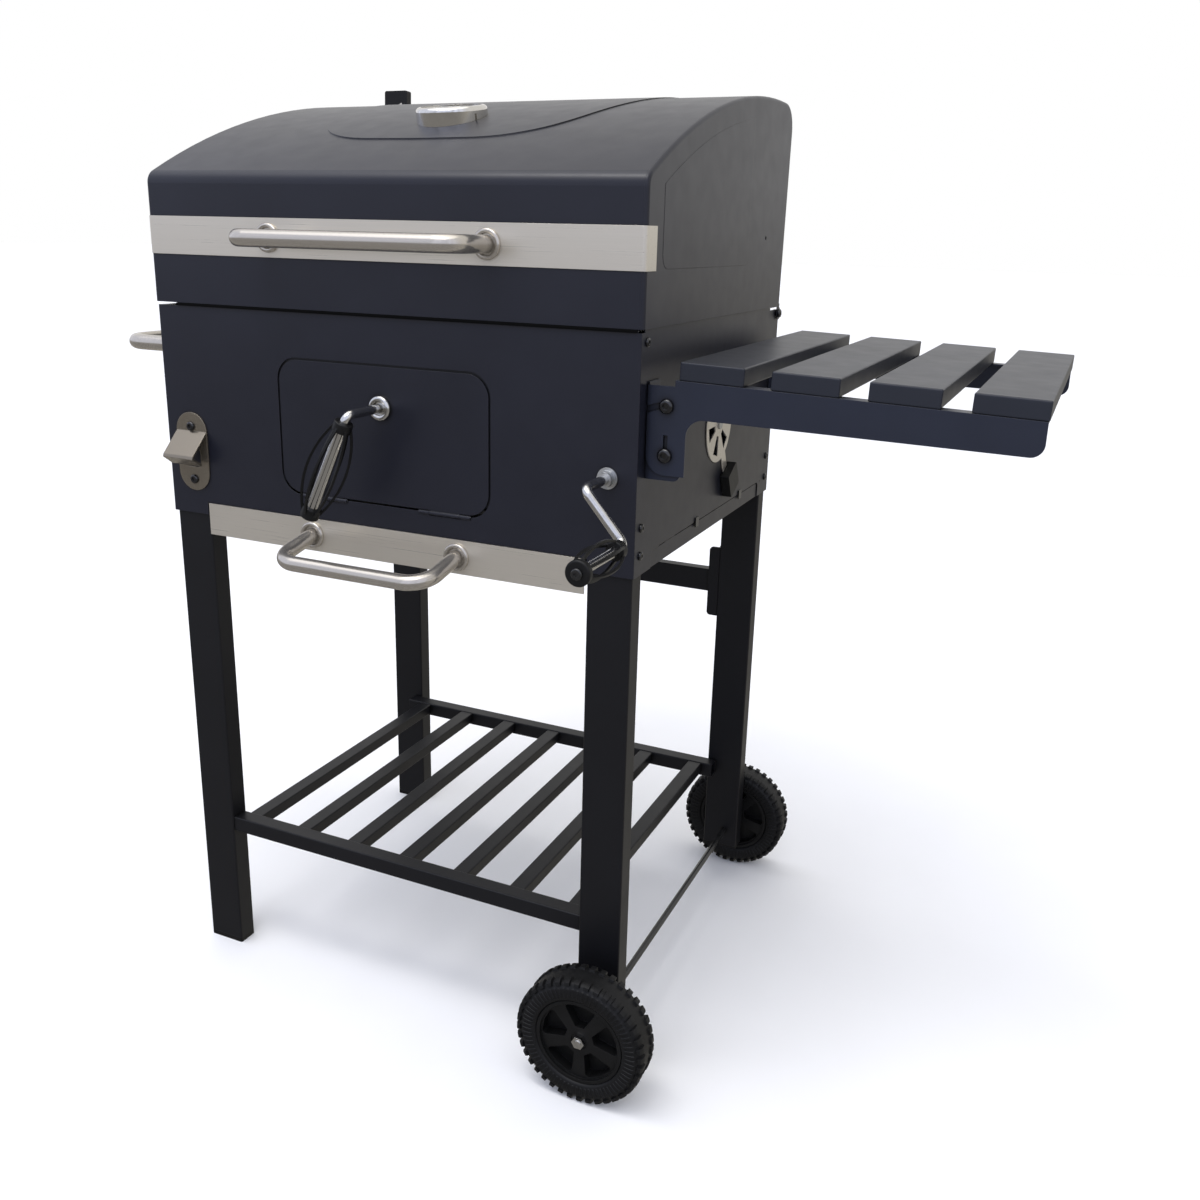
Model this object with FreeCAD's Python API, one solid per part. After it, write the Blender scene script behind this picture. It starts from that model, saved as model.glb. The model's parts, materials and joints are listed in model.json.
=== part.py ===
import FreeCAD, Part
import math
import os

from FreeCAD import Vector

# Charcoal grill cart, millimetres. While it is being built the firebox is centred on x = 0, its
# front face is y = 0, the back is +y and the floor is z = 0. export_all moves the whole thing so
# that the middle of its bounding box, seen from above, is the origin.

# Driving dimensions
BODY_WIDTH = 600.0
BODY_DEPTH = 480.0
BODY_BOTTOM = 592.0
BODY_TOP = 835.0
SHEET = 1.2
LEG_WIDTH = 50.0
LEG_DEPTH = 25.0
LEG_TOP = 660.0
LEFT_LEG_BOTTOM = 6.0
RIGHT_LEG_BOTTOM = 52.0
WHEEL_RADIUS = 76.5
WHEEL_WIDTH = 42.0
FRONT_WHEEL_GAP = 26.0
REAR_WHEEL_GAP = 14.0
HUB_RADIUS = 51.0
AXLE_RADIUS = 4.0
AXLE_X = 279.0
RUNNING_FIT = 0.05
LID_BOTTOM = 838.5
LID_PEAK = 1084.7
LID_OVERLAP = 2.4
LID_SHEET = 1.0
CROWN_RISE = 1.2
STRIP_HEIGHT = 41.0
STRIP_Z = 891.7
HANDLE_RADIUS = 9.0
LID_HANDLE_REACH = 64.0
SIDE_HANDLE_REACH = 75.0
DRAWER_HANDLE_REACH = 68.0
DOOR_GRIP = 118.0
CRANK_GRIP = 92.0
RIB_THICKNESS = 2.6
CRANK_RADIUS = 5.0
CRANK_ARM = 66.0
CRANK_TURN = 41.0
CRANK_OUT = -56.0
SHELF_TOP = 810.3
SHELF_SLOPE = 0.032
BOARD_WIDTH = 64.0
BOARD_THICKNESS = 18.0
BOARD_COUNT = 4
BOARD_PITCH = 89.8
RACK_TOP = 187.0
CROSSBAR_Z = 458.0
RAIL_SIZE = 20.0
SLAT_HEIGHT = 15.0
SLAT_PITCH = 77.0
SLAT_MIDDLE = 3.0
GEAR_MODULE = 2.0
PINION_TEETH = 10

# Sizes that follow from them
HALF = BODY_WIDTH / 2
UPSTAND_TOP = BODY_TOP + 6.0
SEAM_Z = BODY_BOTTOM + 19.0
LEG_OUT = HALF - 2.4
LEG_IN = LEG_OUT - LEG_WIDTH
LEG_FRONT = SHEET + 1.3
LEG_BACK = BODY_DEPTH - SHEET - 1.3
PANEL_EDGE = 606.8
TRAY_BOTTOM = 570.0
LID_HALF = HALF + LID_OVERLAP
LID_FRONT = -2.0
LID_BACK = BODY_DEPTH + 3.0
LID_ARC_Y = 429.5
LID_ARC_RADIUS = 917.2
LID_ARC_Z = LID_PEAK - LID_ARC_RADIUS
HINGE_Y = BODY_DEPTH - 8.0
HINGE_Z = BODY_TOP - 5.0
DOOR_X = 1.0
DOOR_HALF = 133.0
DOOR_BOTTOM = 634.9
DOOR_TOP = 784.0
DOOR_AXIS_Y = SHEET / 2
DOOR_AXIS_Z = 632.0
STEM_X = 2.0
STEM_Z = 740.0
STEM_RADIUS = 5.0
GRIP_TILT = 25.5
GRIP_START = 8.0
GRIP_Y = -60.0
OPENER_X = -264.0
OPENER_Z = 667.0
COLLAR_RADIUS = 8.0
CRANK_X = 268.7
CRANK_Z = 692.4
PIVOT_X = HALF + 21.0
PIVOT_Z = 717.4
LATCH_Z = 765.8
BRACKET_Y = 18.0
SHELF_MIDDLE = 249.0
DAMPER_Y = SHELF_MIDDLE
DAMPER_Z = 715.0
DAMPER_RADIUS = 45.0
DAMPER_LEVER = 82.0
DAMPER_FALL = 62.0
VENT_X = -243.5
VENT_Z = 1000.0
VENT_LEVER = 116.3
VENT_FALL = 115.0
THERMOMETER_Y = 158.0
THERMOMETER_TILT = 9.3
THERMOMETER_SINK = 5.3
PINION_RADIUS = GEAR_MODULE * PINION_TEETH / 2
SHELF_ANGLE = math.atan(SHELF_SLOPE)


def box(x0, x1, y0, y1, z0, z1):
    return Part.makeBox(x1 - x0, y1 - y0, z1 - z0, Vector(x0, y0, z0))


def rod(start, end, radius):
    along = end - start
    return Part.makeCylinder(radius, along.Length, start, along)


def fuse(shapes):
    first = shapes[0]
    if len(shapes) == 1:
        return first
    return first.multiFuse(shapes[1:]).removeSplitter()


def cut(shape, tools):
    return shape.cut(Part.makeCompound(tools))


def mirrored(shape):
    return shape.mirror(Vector(0, 0, 0), Vector(1, 0, 0))


def mirrored_depth(shape, middle=BODY_DEPTH / 2):
    return shape.mirror(Vector(0, middle, 0), Vector(0, 1, 0))


def wire_solid(points, direction):
    wire = Part.makePolygon(points + [points[0]])
    return Part.Face(wire).extrude(direction)


def plate_xz(outline, y0, y1):
    points = [Vector(x, y0, z) for x, z in outline]
    return wire_solid(points, Vector(0, y1 - y0, 0))


def plate_yz(outline, x0, x1):
    points = [Vector(x0, y, z) for y, z in outline]
    return wire_solid(points, Vector(x1 - x0, 0, 0))


def fillet_along(shape, direction, radius, keep):
    edges = []
    for edge in shape.Edges:
        if edge.Curve.TypeId != "Part::GeomLine":
            continue
        if edge.tangentAt(edge.FirstParameter).cross(direction).Length > 0.01:
            continue
        if keep(edge.CenterOfMass):
            edges.append(edge)
    return shape.makeFillet(radius, edges)


def rounded_xz(x0, x1, z0, z1, y0, y1, radius):
    block = box(x0, x1, y0, y1, z0, z1)
    return fillet_along(block, Vector(0, 1, 0), radius, lambda centre: True)


def bent_rod(points, radius, bend):
    edges = []
    start = points[0]
    for before, corner, after in zip(points, points[1:], points[2:]):
        into = (corner - before).normalize()
        out = (after - corner).normalize()
        turn = into.getAngle(out)
        reach = bend * math.tan(turn / 2)
        bulge = bend / math.cos(turn / 2) - bend
        first = corner - into * reach
        last = corner + out * reach
        middle = corner + (out - into).normalize() * bulge
        edges.append(Part.makeLine(start, first))
        edges.append(Part.Arc(first, middle, last).toShape())
        start = last
    edges.append(Part.makeLine(start, points[-1]))
    ring = Part.Wire(Part.makeCircle(radius, points[0], points[1] - points[0]))
    return Part.Wire(edges).makePipeShell([ring], True, False)


def tube(points, radius, bend):
    inside = bent_rod(points, radius - 1.5, bend)
    return bent_rod(points, radius, bend).cut(inside)


def screw_head(centre, outward, radius=5.0, height=2.6):
    dome = Part.makeCylinder(radius, height, centre, outward)
    rim = [edge for edge in dome.Edges if (edge.CenterOfMass - centre).Length > height / 2]
    dome = dome.makeFillet(height * 0.7, [edge for edge in rim if edge.Closed])
    socket = Part.makeCylinder(radius * 0.4, height, centre + outward * height * 0.55, outward)
    return dome.cut(socket)


# Firebox


def door_hole():
    margin = 2.3
    return rounded_xz(DOOR_X - DOOR_HALF - margin, DOOR_X + DOOR_HALF + margin,
                      DOOR_BOTTOM - margin, DOOR_TOP + margin, -5, 20, 26)


def door_notches():
    notches = []
    for side in (-1, 1):
        notches.append(knuckle_box(side, 32.0, DOOR_AXIS_Z - 2.1, 5))
        notches.append(knuckle_box(side, 19.0, DOOR_AXIS_Z - 2.9, 5))
    return notches


def knuckle_box(side, half_length, bottom, reach):
    middle = DOOR_X + side * 79.0
    return box(middle - half_length, middle + half_length, -reach, reach, bottom, DOOR_BOTTOM + 1)


def knuckle(side, from_middle, to_middle):
    middle = DOOR_X + side * 79.0
    start = Vector(middle + from_middle, DOOR_AXIS_Y, DOOR_AXIS_Z)
    end = Vector(middle + to_middle, DOOR_AXIS_Y, DOOR_AXIS_Z)
    return rod(start, end, 2.4).cut(rod(start, end, 1.2 + RUNNING_FIT))


def firebox_front_panel():
    panel = box(-HALF, HALF, 0, SHEET, BODY_BOTTOM, BODY_TOP)
    upstand = box(-HALF + 28, HALF - 4, 0, SHEET, BODY_TOP, UPSTAND_TOP)
    tab_inside = LEG_IN + 0.6
    mouth = rounded_xz(-tab_inside, tab_inside, BODY_BOTTOM - 20, PANEL_EDGE, -5, 10, 1.5)
    crank_hole = rod(Vector(CRANK_X, -5, CRANK_Z), Vector(CRANK_X, 5, CRANK_Z), COLLAR_RADIUS)
    panel = cut(panel, [mouth, crank_hole, door_hole()] + door_notches())
    parts = [panel, upstand]
    for side in (-1, 1):
        outer = HALF - SHEET
        flange = box(outer - SHEET, outer, 0, 20, BODY_BOTTOM, BODY_TOP)
        parts.append(flange if side > 0 else mirrored(flange))
        for start, end in ((-32.0, -19.0), (19.0, 32.0)):
            parts.append(knuckle(side, start, end))
    parts.append(box(-HALF + 2.4, HALF - 2.4, 0, 8, BODY_TOP - SHEET, BODY_TOP))
    solid = fuse(parts)
    pins = [door_pin(side, 1.2 + RUNNING_FIT) for side in (-1, 1)]
    return cut(solid, pins)


def door_pin(side, radius):
    middle = DOOR_X + side * 79.0
    start = Vector(middle - 32, DOOR_AXIS_Y, DOOR_AXIS_Z)
    return rod(start, start + Vector(64, 0, 0), radius)


def door_hinge_pins():
    return Part.makeCompound([door_pin(side, 1.2) for side in (-1, 1)])


def coal_door_frame():
    back = SHEET + 1.4
    outer = rounded_xz(DOOR_X - DOOR_HALF - 14, DOOR_X + DOOR_HALF + 14, DOOR_BOTTOM + 5,
                       DOOR_TOP + 14, SHEET, back, 30)
    inner = rounded_xz(DOOR_X - DOOR_HALF + 6, DOOR_X + DOOR_HALF - 6, DOOR_BOTTOM - 20,
                       DOOR_TOP - 6, -5, 20, 22)
    recess = door_hole().common(box(-HALF, HALF, -5, SHEET + 0.5, BODY_BOTTOM, BODY_TOP))
    return cut(outer, [inner, recess])


def firebox_rear_panel():
    top = BODY_TOP - 13
    panel = box(-HALF, HALF, BODY_DEPTH - SHEET, BODY_DEPTH, BODY_BOTTOM, top)
    outer = HALF - SHEET
    flange = box(outer - SHEET, outer, BODY_DEPTH - 20, BODY_DEPTH, BODY_BOTTOM, top)
    rim = box(-outer + SHEET, outer - SHEET, BODY_DEPTH - 8, BODY_DEPTH, top - SHEET, top)
    return fuse([panel, flange, mirrored(flange), rim])


def damper_holes(shrink):
    holes = []
    for number in range(6):
        angle = math.radians(60 * number + 15)
        half = math.radians(13) - shrink / 38
        outline = []
        for distance, turn in ((15 + shrink, -half), (38 - shrink, -half),
                               (38 - shrink, half), (15 + shrink, half)):
            outline.append((DAMPER_Y + distance * math.cos(angle + turn),
                            DAMPER_Z + distance * math.sin(angle + turn)))
        holes.append(plate_yz(outline, HALF - 10, HALF + 10))
    return holes


def firebox_side(upstand_front):
    wall = box(HALF - SHEET, HALF, SHEET, BODY_DEPTH - SHEET, BODY_BOTTOM, BODY_TOP)
    upstand = box(HALF - SHEET, HALF, upstand_front, BODY_DEPTH - 40, BODY_TOP, UPSTAND_TOP)
    seam = box(HALF - 0.5, HALF + 1, 70, BODY_DEPTH - 35, SEAM_Z - 0.5, SEAM_Z + 0.5)
    skirt = box(HALF - 5, HALF + 5, 46, BODY_DEPTH - 46, BODY_BOTTOM - 10, BODY_BOTTOM + 19)
    skirt = fillet_along(skirt, Vector(1, 0, 0), 6, lambda centre: centre.z > BODY_BOTTOM)
    pin = rod(Vector(HALF - 5, HINGE_Y, HINGE_Z), Vector(HALF + 5, HINGE_Y, HINGE_Z), 3.0)
    rivet = rod(Vector(HALF - 5, DAMPER_Y, DAMPER_Z), Vector(HALF + 5, DAMPER_Y, DAMPER_Z), 3.0)
    return cut(fuse([wall, upstand]), [skirt, seam, pin, rivet] + damper_holes(1.0))


def firebox_floor():
    inside = HALF - SHEET
    z = BODY_BOTTOM + 17
    plate = box(-inside, inside, LEG_FRONT, LEG_BACK, z - SHEET, z)
    skirt = box(inside - SHEET, inside, 34, BODY_DEPTH - 34, BODY_BOTTOM, z + 14)
    mouth = box(-LEG_IN + 13, LEG_IN - 13, 36, BODY_DEPTH - 36, z - 10, z + 10)
    legs = []
    for x0 in (-HALF, LEG_IN - 0.4):
        for y0 in (-10, LEG_BACK - LEG_DEPTH - 0.4):
            legs.append(box(x0, x0 + HALF - LEG_IN + 0.4, y0, y0 + LEG_FRONT + LEG_DEPTH + 10.4,
                            z - 10, z + 10))
    lug = box(inside - 12, inside, 90, 120, z, z + 1.2)
    seam = box(inside - SHEET - 1, inside + 1, 70, BODY_DEPTH - 35, SEAM_Z - 1.4, SEAM_Z)
    skirt = skirt.cut(seam)
    return fuse([cut(plate, [mouth] + legs), skirt, mirrored(skirt), lug])


def grate_ledges():
    front = box(-HALF + 4, HALF - 4, SHEET, 17, 812, 813.2)
    lip = box(-HALF + 4, HALF - 4, SHEET, 2 * SHEET, 800, 813.2)
    ledge = fuse([front, lip])
    return Part.makeCompound([ledge, mirrored_depth(ledge)])


def cooking_grate(x0, x1):
    front = 12.0
    back = BODY_DEPTH - 12.0
    low = 813.2 + 3.0
    high = low + 5.0
    frame = [
        bent_rod([Vector(x0, 240, high), Vector(x0, front, high), Vector(x1, front, high),
                  Vector(x1, back, high), Vector(x0, back, high), Vector(x0, 240, high)], 3.0, 8.0)
    ]
    count = int((x1 - x0) / 14.0)
    step = (x1 - x0) / count
    for number in range(1, count):
        x = x0 + step * number
        frame.append(rod(Vector(x, front, high), Vector(x, back, high), 2.0))
    for y in (BODY_DEPTH * 0.3, BODY_DEPTH * 0.7):
        frame.append(rod(Vector(x0, y, low + 1.2), Vector(x1, y, low + 1.2), 2.5))
    shape = fuse(frame)
    feet = [rod(Vector(x, front + 1, low - 3), Vector(x, front + 1, high), 3.0)
            for x in (x0 + 20, x1 - 20)]
    feet += [mirrored_depth(foot) for foot in feet]
    return fuse([shape] + feet)


def bottle_opener():
    x = OPENER_X
    z = OPENER_Z
    plate = rounded_xz(x - 22.5, x + 22.5, z - 46.5, z + 46.5, -1.5, 0, 22.4)
    hood_outline = [(-1.0, z + 25), (-26, z - 0.5), (-27, z - 4), (-13, z - 14), (-12, z - 11.5),
                    (-24, z - 3.5), (-23.5, z - 1.5), (-1.0, z + 21)]
    hood = plate_yz(hood_outline, x - 22, x + 22)
    mouth = rounded_xz(x - 11, x + 11, z - 18, z + 4, -5, 5, 5)
    return fuse([plate.cut(mouth), hood])


def body_screws():
    heads = []
    right = Vector(1, 0, 0)
    for y, z in ((14, 826), (15, 642), (15, 613), (BODY_DEPTH - 15, 642), (BODY_DEPTH - 15, 613)):
        heads.append(screw_head(Vector(HALF, y, z), right, 4.5))
    for y in (187, 351):
        heads.append(box(HALF, HALF + 1.5, y - 5, y + 5, SEAM_Z - 5.5, SEAM_Z + 5.5))
    heads += [mirrored(head) for head in heads]
    front = Vector(0, -1, 0)
    for z in (OPENER_Z + 30, OPENER_Z - 33):
        heads.append(screw_head(Vector(OPENER_X, -1.5, z), front, 5.5, 3.0))
    back = Vector(0, 1, 0)
    for x in (-272, 272):
        for z in (613, 645):
            heads.append(screw_head(Vector(x, BODY_DEPTH, z), back, 4.5))
    return Part.makeCompound(heads)


# Cart


def leg(left, front):
    bottom = LEFT_LEG_BOTTOM if left else RIGHT_LEG_BOTTOM
    x0 = -LEG_OUT if left else LEG_IN
    y0 = LEG_FRONT if front else LEG_BACK - LEG_DEPTH
    wall = 1.5
    outer = box(x0, x0 + LEG_WIDTH, y0, y0 + LEG_DEPTH, bottom, LEG_TOP)
    outer = fillet_along(outer, Vector(0, 0, 1), 2.0, lambda centre: True)
    inner = box(x0 + wall, x0 + LEG_WIDTH - wall, y0 + wall, y0 + LEG_DEPTH - wall,
                bottom - 1, LEG_TOP + 1)
    tube = outer.cut(inner)
    if left:
        return tube
    axle = rod(Vector(AXLE_X, -200, WHEEL_RADIUS), Vector(AXLE_X, 700, WHEEL_RADIUS), AXLE_RADIUS)
    return tube.cut(axle)


def foot_caps():
    caps = []
    for left in (True, False):
        top = LEFT_LEG_BOTTOM if left else RIGHT_LEG_BOTTOM
        bottom = 0.0 if left else top - 3.0
        x0 = -LEG_OUT if left else LEG_IN
        for y0 in (LEG_FRONT, LEG_BACK - LEG_DEPTH):
            pad = box(x0, x0 + LEG_WIDTH, y0, y0 + LEG_DEPTH, bottom, top)
            pad = fillet_along(pad, Vector(0, 0, 1), 2.0, lambda centre: True)
            plug = box(x0 + 1.5, x0 + LEG_WIDTH - 1.5, y0 + 1.5, y0 + LEG_DEPTH - 1.5,
                       top - 1, top + 14)
            caps.append(fuse([pad, plug]))
    return Part.makeCompound(caps)


def rear_crossbar():
    y0 = LEG_BACK - LEG_DEPTH + 4
    z = CROSSBAR_Z
    bar = box(-LEG_IN + 3, LEG_IN - 3, y0, y0 + 15, z - 16, z + 16)
    bar = bar.cut(box(-LEG_IN + 3, LEG_IN - 3, y0 + 1.5, y0 + 13.5, z - 14.5, z + 14.5))
    plate = box(LEG_IN - 3, LEG_IN, y0 - 2, y0 + 17, z - 50, z + 50)
    plate = fillet_along(plate, Vector(1, 0, 0), 9.0, lambda centre: True)
    ear = box(LEG_IN - 15, LEG_IN, y0 - 3.5, y0, z - 50, z + 50)
    ear = fillet_along(ear, Vector(0, 1, 0), 5.0, lambda centre: centre.x < LEG_IN - 8)
    end = fuse([plate, ear])
    return fuse([bar, end, mirrored(end)])


def rack_rails():
    rails = []
    front = LEG_FRONT + 2
    rear = LEG_BACK - LEG_DEPTH - RAIL_SIZE
    for y0, end in ((front, LEG_IN), (rear, LEG_IN + 12)):
        low = RACK_TOP - RAIL_SIZE
        outer = box(-end, end, y0, y0 + RAIL_SIZE, low, RACK_TOP)
        outer = fillet_along(outer, Vector(1, 0, 0), 1.5, lambda centre: True)
        inner = box(-end, end, y0 + 1.5, y0 + RAIL_SIZE - 1.5, low + 1.5, RACK_TOP - 1.5)
        rails.append(outer.cut(inner))
    return Part.makeCompound(rails)


def rack_slats():
    slats = []
    y0 = LEG_FRONT + 2 + RAIL_SIZE
    y1 = LEG_BACK - LEG_DEPTH - RAIL_SIZE
    top = RACK_TOP - 1
    half = RAIL_SIZE / 2
    for number in range(-3, 4):
        x = SLAT_MIDDLE + SLAT_PITCH * number
        outer = box(x - half, x + half, y0, y1, top - SLAT_HEIGHT, top)
        outer = fillet_along(outer, Vector(0, 1, 0), 1.5, lambda centre: True)
        inner = box(x - half + 1.2, x + half - 1.2, y0, y1, top - SLAT_HEIGHT + 1.2, top - 1.2)
        slats.append(outer.cut(inner))
    return Part.makeCompound(slats)


def wheel_faces(front):
    if front:
        inner = LEG_FRONT - FRONT_WHEEL_GAP
        return inner - WHEEL_WIDTH, inner
    inner = LEG_BACK + REAR_WHEEL_GAP
    return inner, inner + WHEEL_WIDTH


def hexagon(centre, radius, thickness):
    outline = []
    for number in range(6):
        angle = math.radians(60 * number)
        outline.append((centre.x + radius * math.cos(angle), centre.z + radius * math.sin(angle)))
    return plate_xz(outline, centre.y, centre.y + thickness)


def axle():
    low, low_inner = wheel_faces(True)
    high_inner, high = wheel_faces(False)
    start = Vector(AXLE_X, low + 1, WHEEL_RADIUS)
    end = Vector(AXLE_X, high - 1, WHEEL_RADIUS)
    parts = [rod(start, end, AXLE_RADIUS)]
    parts.append(hexagon(Vector(AXLE_X, low + 2, WHEEL_RADIUS), 7.5, 6.0))
    parts.append(hexagon(Vector(AXLE_X, high - 8, WHEEL_RADIUS), 7.5, 6.0))
    for y0, y1 in ((low_inner + 0.3, LEG_FRONT), (LEG_BACK, high_inner - 0.3)):
        parts.append(rod(Vector(AXLE_X, y0, WHEEL_RADIUS), Vector(AXLE_X, y1, WHEEL_RADIUS), 7.0))
    return fuse(parts)


def wheel_ring(y0, y1, inner, outer):
    ring = rod(Vector(AXLE_X, y0, WHEEL_RADIUS), Vector(AXLE_X, y1, WHEEL_RADIUS), outer)
    return ring.cut(rod(Vector(AXLE_X, y0 - 1, WHEEL_RADIUS),
                        Vector(AXLE_X, y1 + 1, WHEEL_RADIUS), inner))


def wheel_tyre(front):
    y0, y1 = wheel_faces(front)
    centre = Vector(AXLE_X, 0, WHEEL_RADIUS)
    half_outline = [(HUB_RADIUS, 5), (HUB_RADIUS + 3, 1.5), (63, 0), (71, 2.5), (WHEEL_RADIUS, 9)]
    outline = [(distance, y0 + inset) for distance, inset in half_outline]
    outline += [(distance, y1 - inset) for distance, inset in reversed(half_outline)]
    points = [Vector(AXLE_X + distance, y, WHEEL_RADIUS) for distance, y in outline]
    face = Part.Face(Part.makePolygon(points + [points[0]]))
    return face.revolve(centre, Vector(0, 1, 0), 360)


def hub_pocket(y0, y1):
    # a wedge with rounded corners, between two spokes of even width
    half_spoke = 5.0
    half_turn = math.radians(36)
    outline = []
    for distance, side in ((17.0, -1), (42.0, -1), (45.0, 0), (42.0, 1), (17.0, 1)):
        half = max(distance * math.sin(half_turn) - half_spoke / math.cos(half_turn) + 1.2, 1.0)
        outline.append((AXLE_X + distance, WHEEL_RADIUS + side * half))
    wedge = plate_xz(outline, y0, y1)
    return fillet_along(wedge, Vector(0, 1, 0), 4.0, lambda centre: centre.x > AXLE_X + 20)


def wheel_hub(front):
    y0, y1 = wheel_faces(front)
    middle = (y0 + y1) / 2
    rim = wheel_ring(y0 + 3.5, y1 - 3.5, HUB_RADIUS - 4, HUB_RADIUS)
    body = wheel_ring(y0 + 7, y1 - 7, 10, HUB_RADIUS - 3)
    pockets = []
    for number in range(5):
        for start, end in ((y0, middle - 1.5), (middle + 1.5, y1)):
            pocket = hub_pocket(start, end)
            pocket.rotate(Vector(AXLE_X, 0, WHEEL_RADIUS), Vector(0, 1, 0), 72 * number + 54)
            pockets.append(pocket)
    boss_low = y0 + 8.3 if front else y0
    boss_high = y1 if front else y1 - 8.3
    boss = wheel_ring(boss_low, boss_high, AXLE_RADIUS + RUNNING_FIT, 12)
    recess = wheel_ring(y0 - 1 if front else y1 - 8.3, y0 + 8.3 if front else y1 + 1, 0.1, 10)
    return fuse([cut(body, pockets), rim, boss]).cut(recess)


# Side handle, ash drawer and the lid's handle: bent tubes that stand in ring-shaped rosettes


def rosette(centre, outward, radius, bead):
    ring = Part.makeTorus(radius - bead, bead, centre + outward * bead * 0.55, outward)
    disc = Part.makeCylinder(radius - bead, 1.0, centre, outward)
    return fuse([ring, disc]).common(Part.makeCylinder(radius + 1, 4 * bead, centre, outward))


def side_handle():
    x = -HALF
    z = 787.5
    out = x - SIDE_HANDLE_REACH
    front = 22.0
    back = BODY_DEPTH - 22.0
    bar = tube([Vector(x, front, z), Vector(out, front, z), Vector(out, back, z),
                Vector(x, back, z)], HANDLE_RADIUS, 24)
    rosettes = [rosette(Vector(x, y, z), Vector(-1, 0, 0), 17.0, 2.8) for y in (front, back)]
    return fuse([bar] + rosettes)


def drawer_runners():
    channel = fuse([
        box(LEG_IN - SHEET, LEG_IN, LEG_FRONT + 1, LEG_BACK - 1, 594.0, 599.7),
        box(LEG_IN - 14, LEG_IN, LEG_FRONT + 1, LEG_BACK - 1, 594.0, 595.2),
        box(LEG_IN - 14, LEG_IN, LEG_FRONT + 1, LEG_BACK - 1, 598.5, 599.7),
    ])
    return Part.makeCompound([channel, mirrored(channel)])


def ash_tray():
    half = LEG_IN - 17.6
    outer = box(-half, half, 0.2, 440, TRAY_BOTTOM, 596.7)
    inner = box(-half + 1, half - 1, 1.2, 439, TRAY_BOTTOM + 1, 700)
    flange = box(half - 1, LEG_IN - 2.6, 5, 440, 595.5, 596.7)
    return fuse([outer.cut(inner), flange, mirrored(flange)])


def drawer_front():
    half = LEG_IN - 1.6
    plate = box(-half, half, -0.8, 0.2, 568.4, 606.3)
    top = box(-LEG_IN + 18, LEG_IN - 18, 0, 5, 605.3, 606.3)
    return fuse([plate, top])


def drawer_handle():
    z = 587.4
    half = 95.0
    reach = -DRAWER_HANDLE_REACH
    bar = tube([Vector(-half, 4, z + 1), Vector(-half, reach, z - 14),
                Vector(half, reach, z - 14), Vector(half, 4, z + 1)], HANDLE_RADIUS - 0.5, 26.0)
    bar = bar.cut(box(-200, 200, -0.8, 40, 500, 700))
    rosettes = [rosette(Vector(x, -0.8, z), Vector(0, -1, 0), 15.5, 2.6) for x in (-half, half)]
    return fuse([bar] + rosettes)


# Lid


def lid_arc_z(y, inset=0.0):
    radius = LID_ARC_RADIUS - inset
    return LID_ARC_Z + math.sqrt(radius * radius - (y - LID_ARC_Y) ** 2)


def lid_block(inset, bottom, half):
    front = LID_FRONT + inset
    back = LID_BACK - inset
    back_bottom = back - 9
    middle = (front + back) / 2
    front_corner = Vector(-half, front, lid_arc_z(front, inset))
    back_corner = Vector(-half, back, lid_arc_z(back, inset))
    front_bottom = Vector(-half, front, bottom)
    rear_bottom = Vector(-half, back_bottom, bottom)
    crown = Vector(-half, middle, lid_arc_z(middle, inset))
    edges = [
        Part.makeLine(front_bottom, front_corner),
        Part.Arc(front_corner, crown, back_corner).toShape(),
        Part.makeLine(back_corner, rear_bottom),
        Part.makeLine(rear_bottom, front_bottom),
    ]
    block = Part.Face(Part.Wire(edges)).extrude(Vector(2 * half, 0, 0))
    across = Vector(1, 0, 0)
    block = fillet_along(block, across, max(16 - inset, 6),
                         lambda centre: centre.y < front + 8 and centre.z > bottom + 50)
    return fillet_along(block, across, max(32 - inset, 12),
                        lambda centre: centre.y > back - 8 and centre.z > bottom + 50)


def round_lid_ends(block, half, bottom, radius):
    edges = []
    for edge in block.Edges:
        centre = edge.CenterOfMass
        if abs(abs(centre.x) - half) < 0.01 and centre.z > bottom + 1:
            edges.append(edge)
    return block.makeFillet(radius, edges)


def lid_hollow():
    outer = round_lid_ends(lid_block(0, LID_BOTTOM, LID_HALF), LID_HALF, LID_BOTTOM, 4.0)
    inner_half = LID_HALF - LID_SHEET
    inner = lid_block(LID_SHEET, LID_BOTTOM - 5, inner_half)
    inner = round_lid_ends(inner, inner_half, LID_BOTTOM - 5, 3.0)
    return outer.cut(inner)


def crown_panel():
    right = [(192, 440), (189, 340), (184, 265), (173, 200), (160, 152), (140, 117), (116, 98),
             (86, 87), (46, 84)]
    left = [(-x, y) for x, y in reversed(right)]
    curve = Part.BSplineCurve()
    curve.interpolate([Vector(x, y, 1000) for x, y in right + [(0, 83)] + left])
    back = Part.makeLine(Vector(-192, 440, 1000), Vector(192, 440, 1000))
    prism = Part.Face(Part.Wire([curve.toShape(), back])).extrude(Vector(0, 0, 120))
    raised = lid_block(-CROWN_RISE, LID_BOTTOM, LID_HALF - 20)
    return raised.cut(lid_block(LID_SHEET / 2, 700, LID_HALF)).common(prism)


def side_panel():
    block = lid_block(24, 893, LID_HALF + 0.2)
    window = box(0, 400, 40, 318, 893, 1100)
    panel = block.common(window)
    panel = panel.cut(box(-10, LID_HALF - LID_SHEET / 2, -50, 600, 700, 1200))
    return fillet_along(panel, Vector(1, 0, 0), 14, lambda centre: centre.z < 900)


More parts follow.
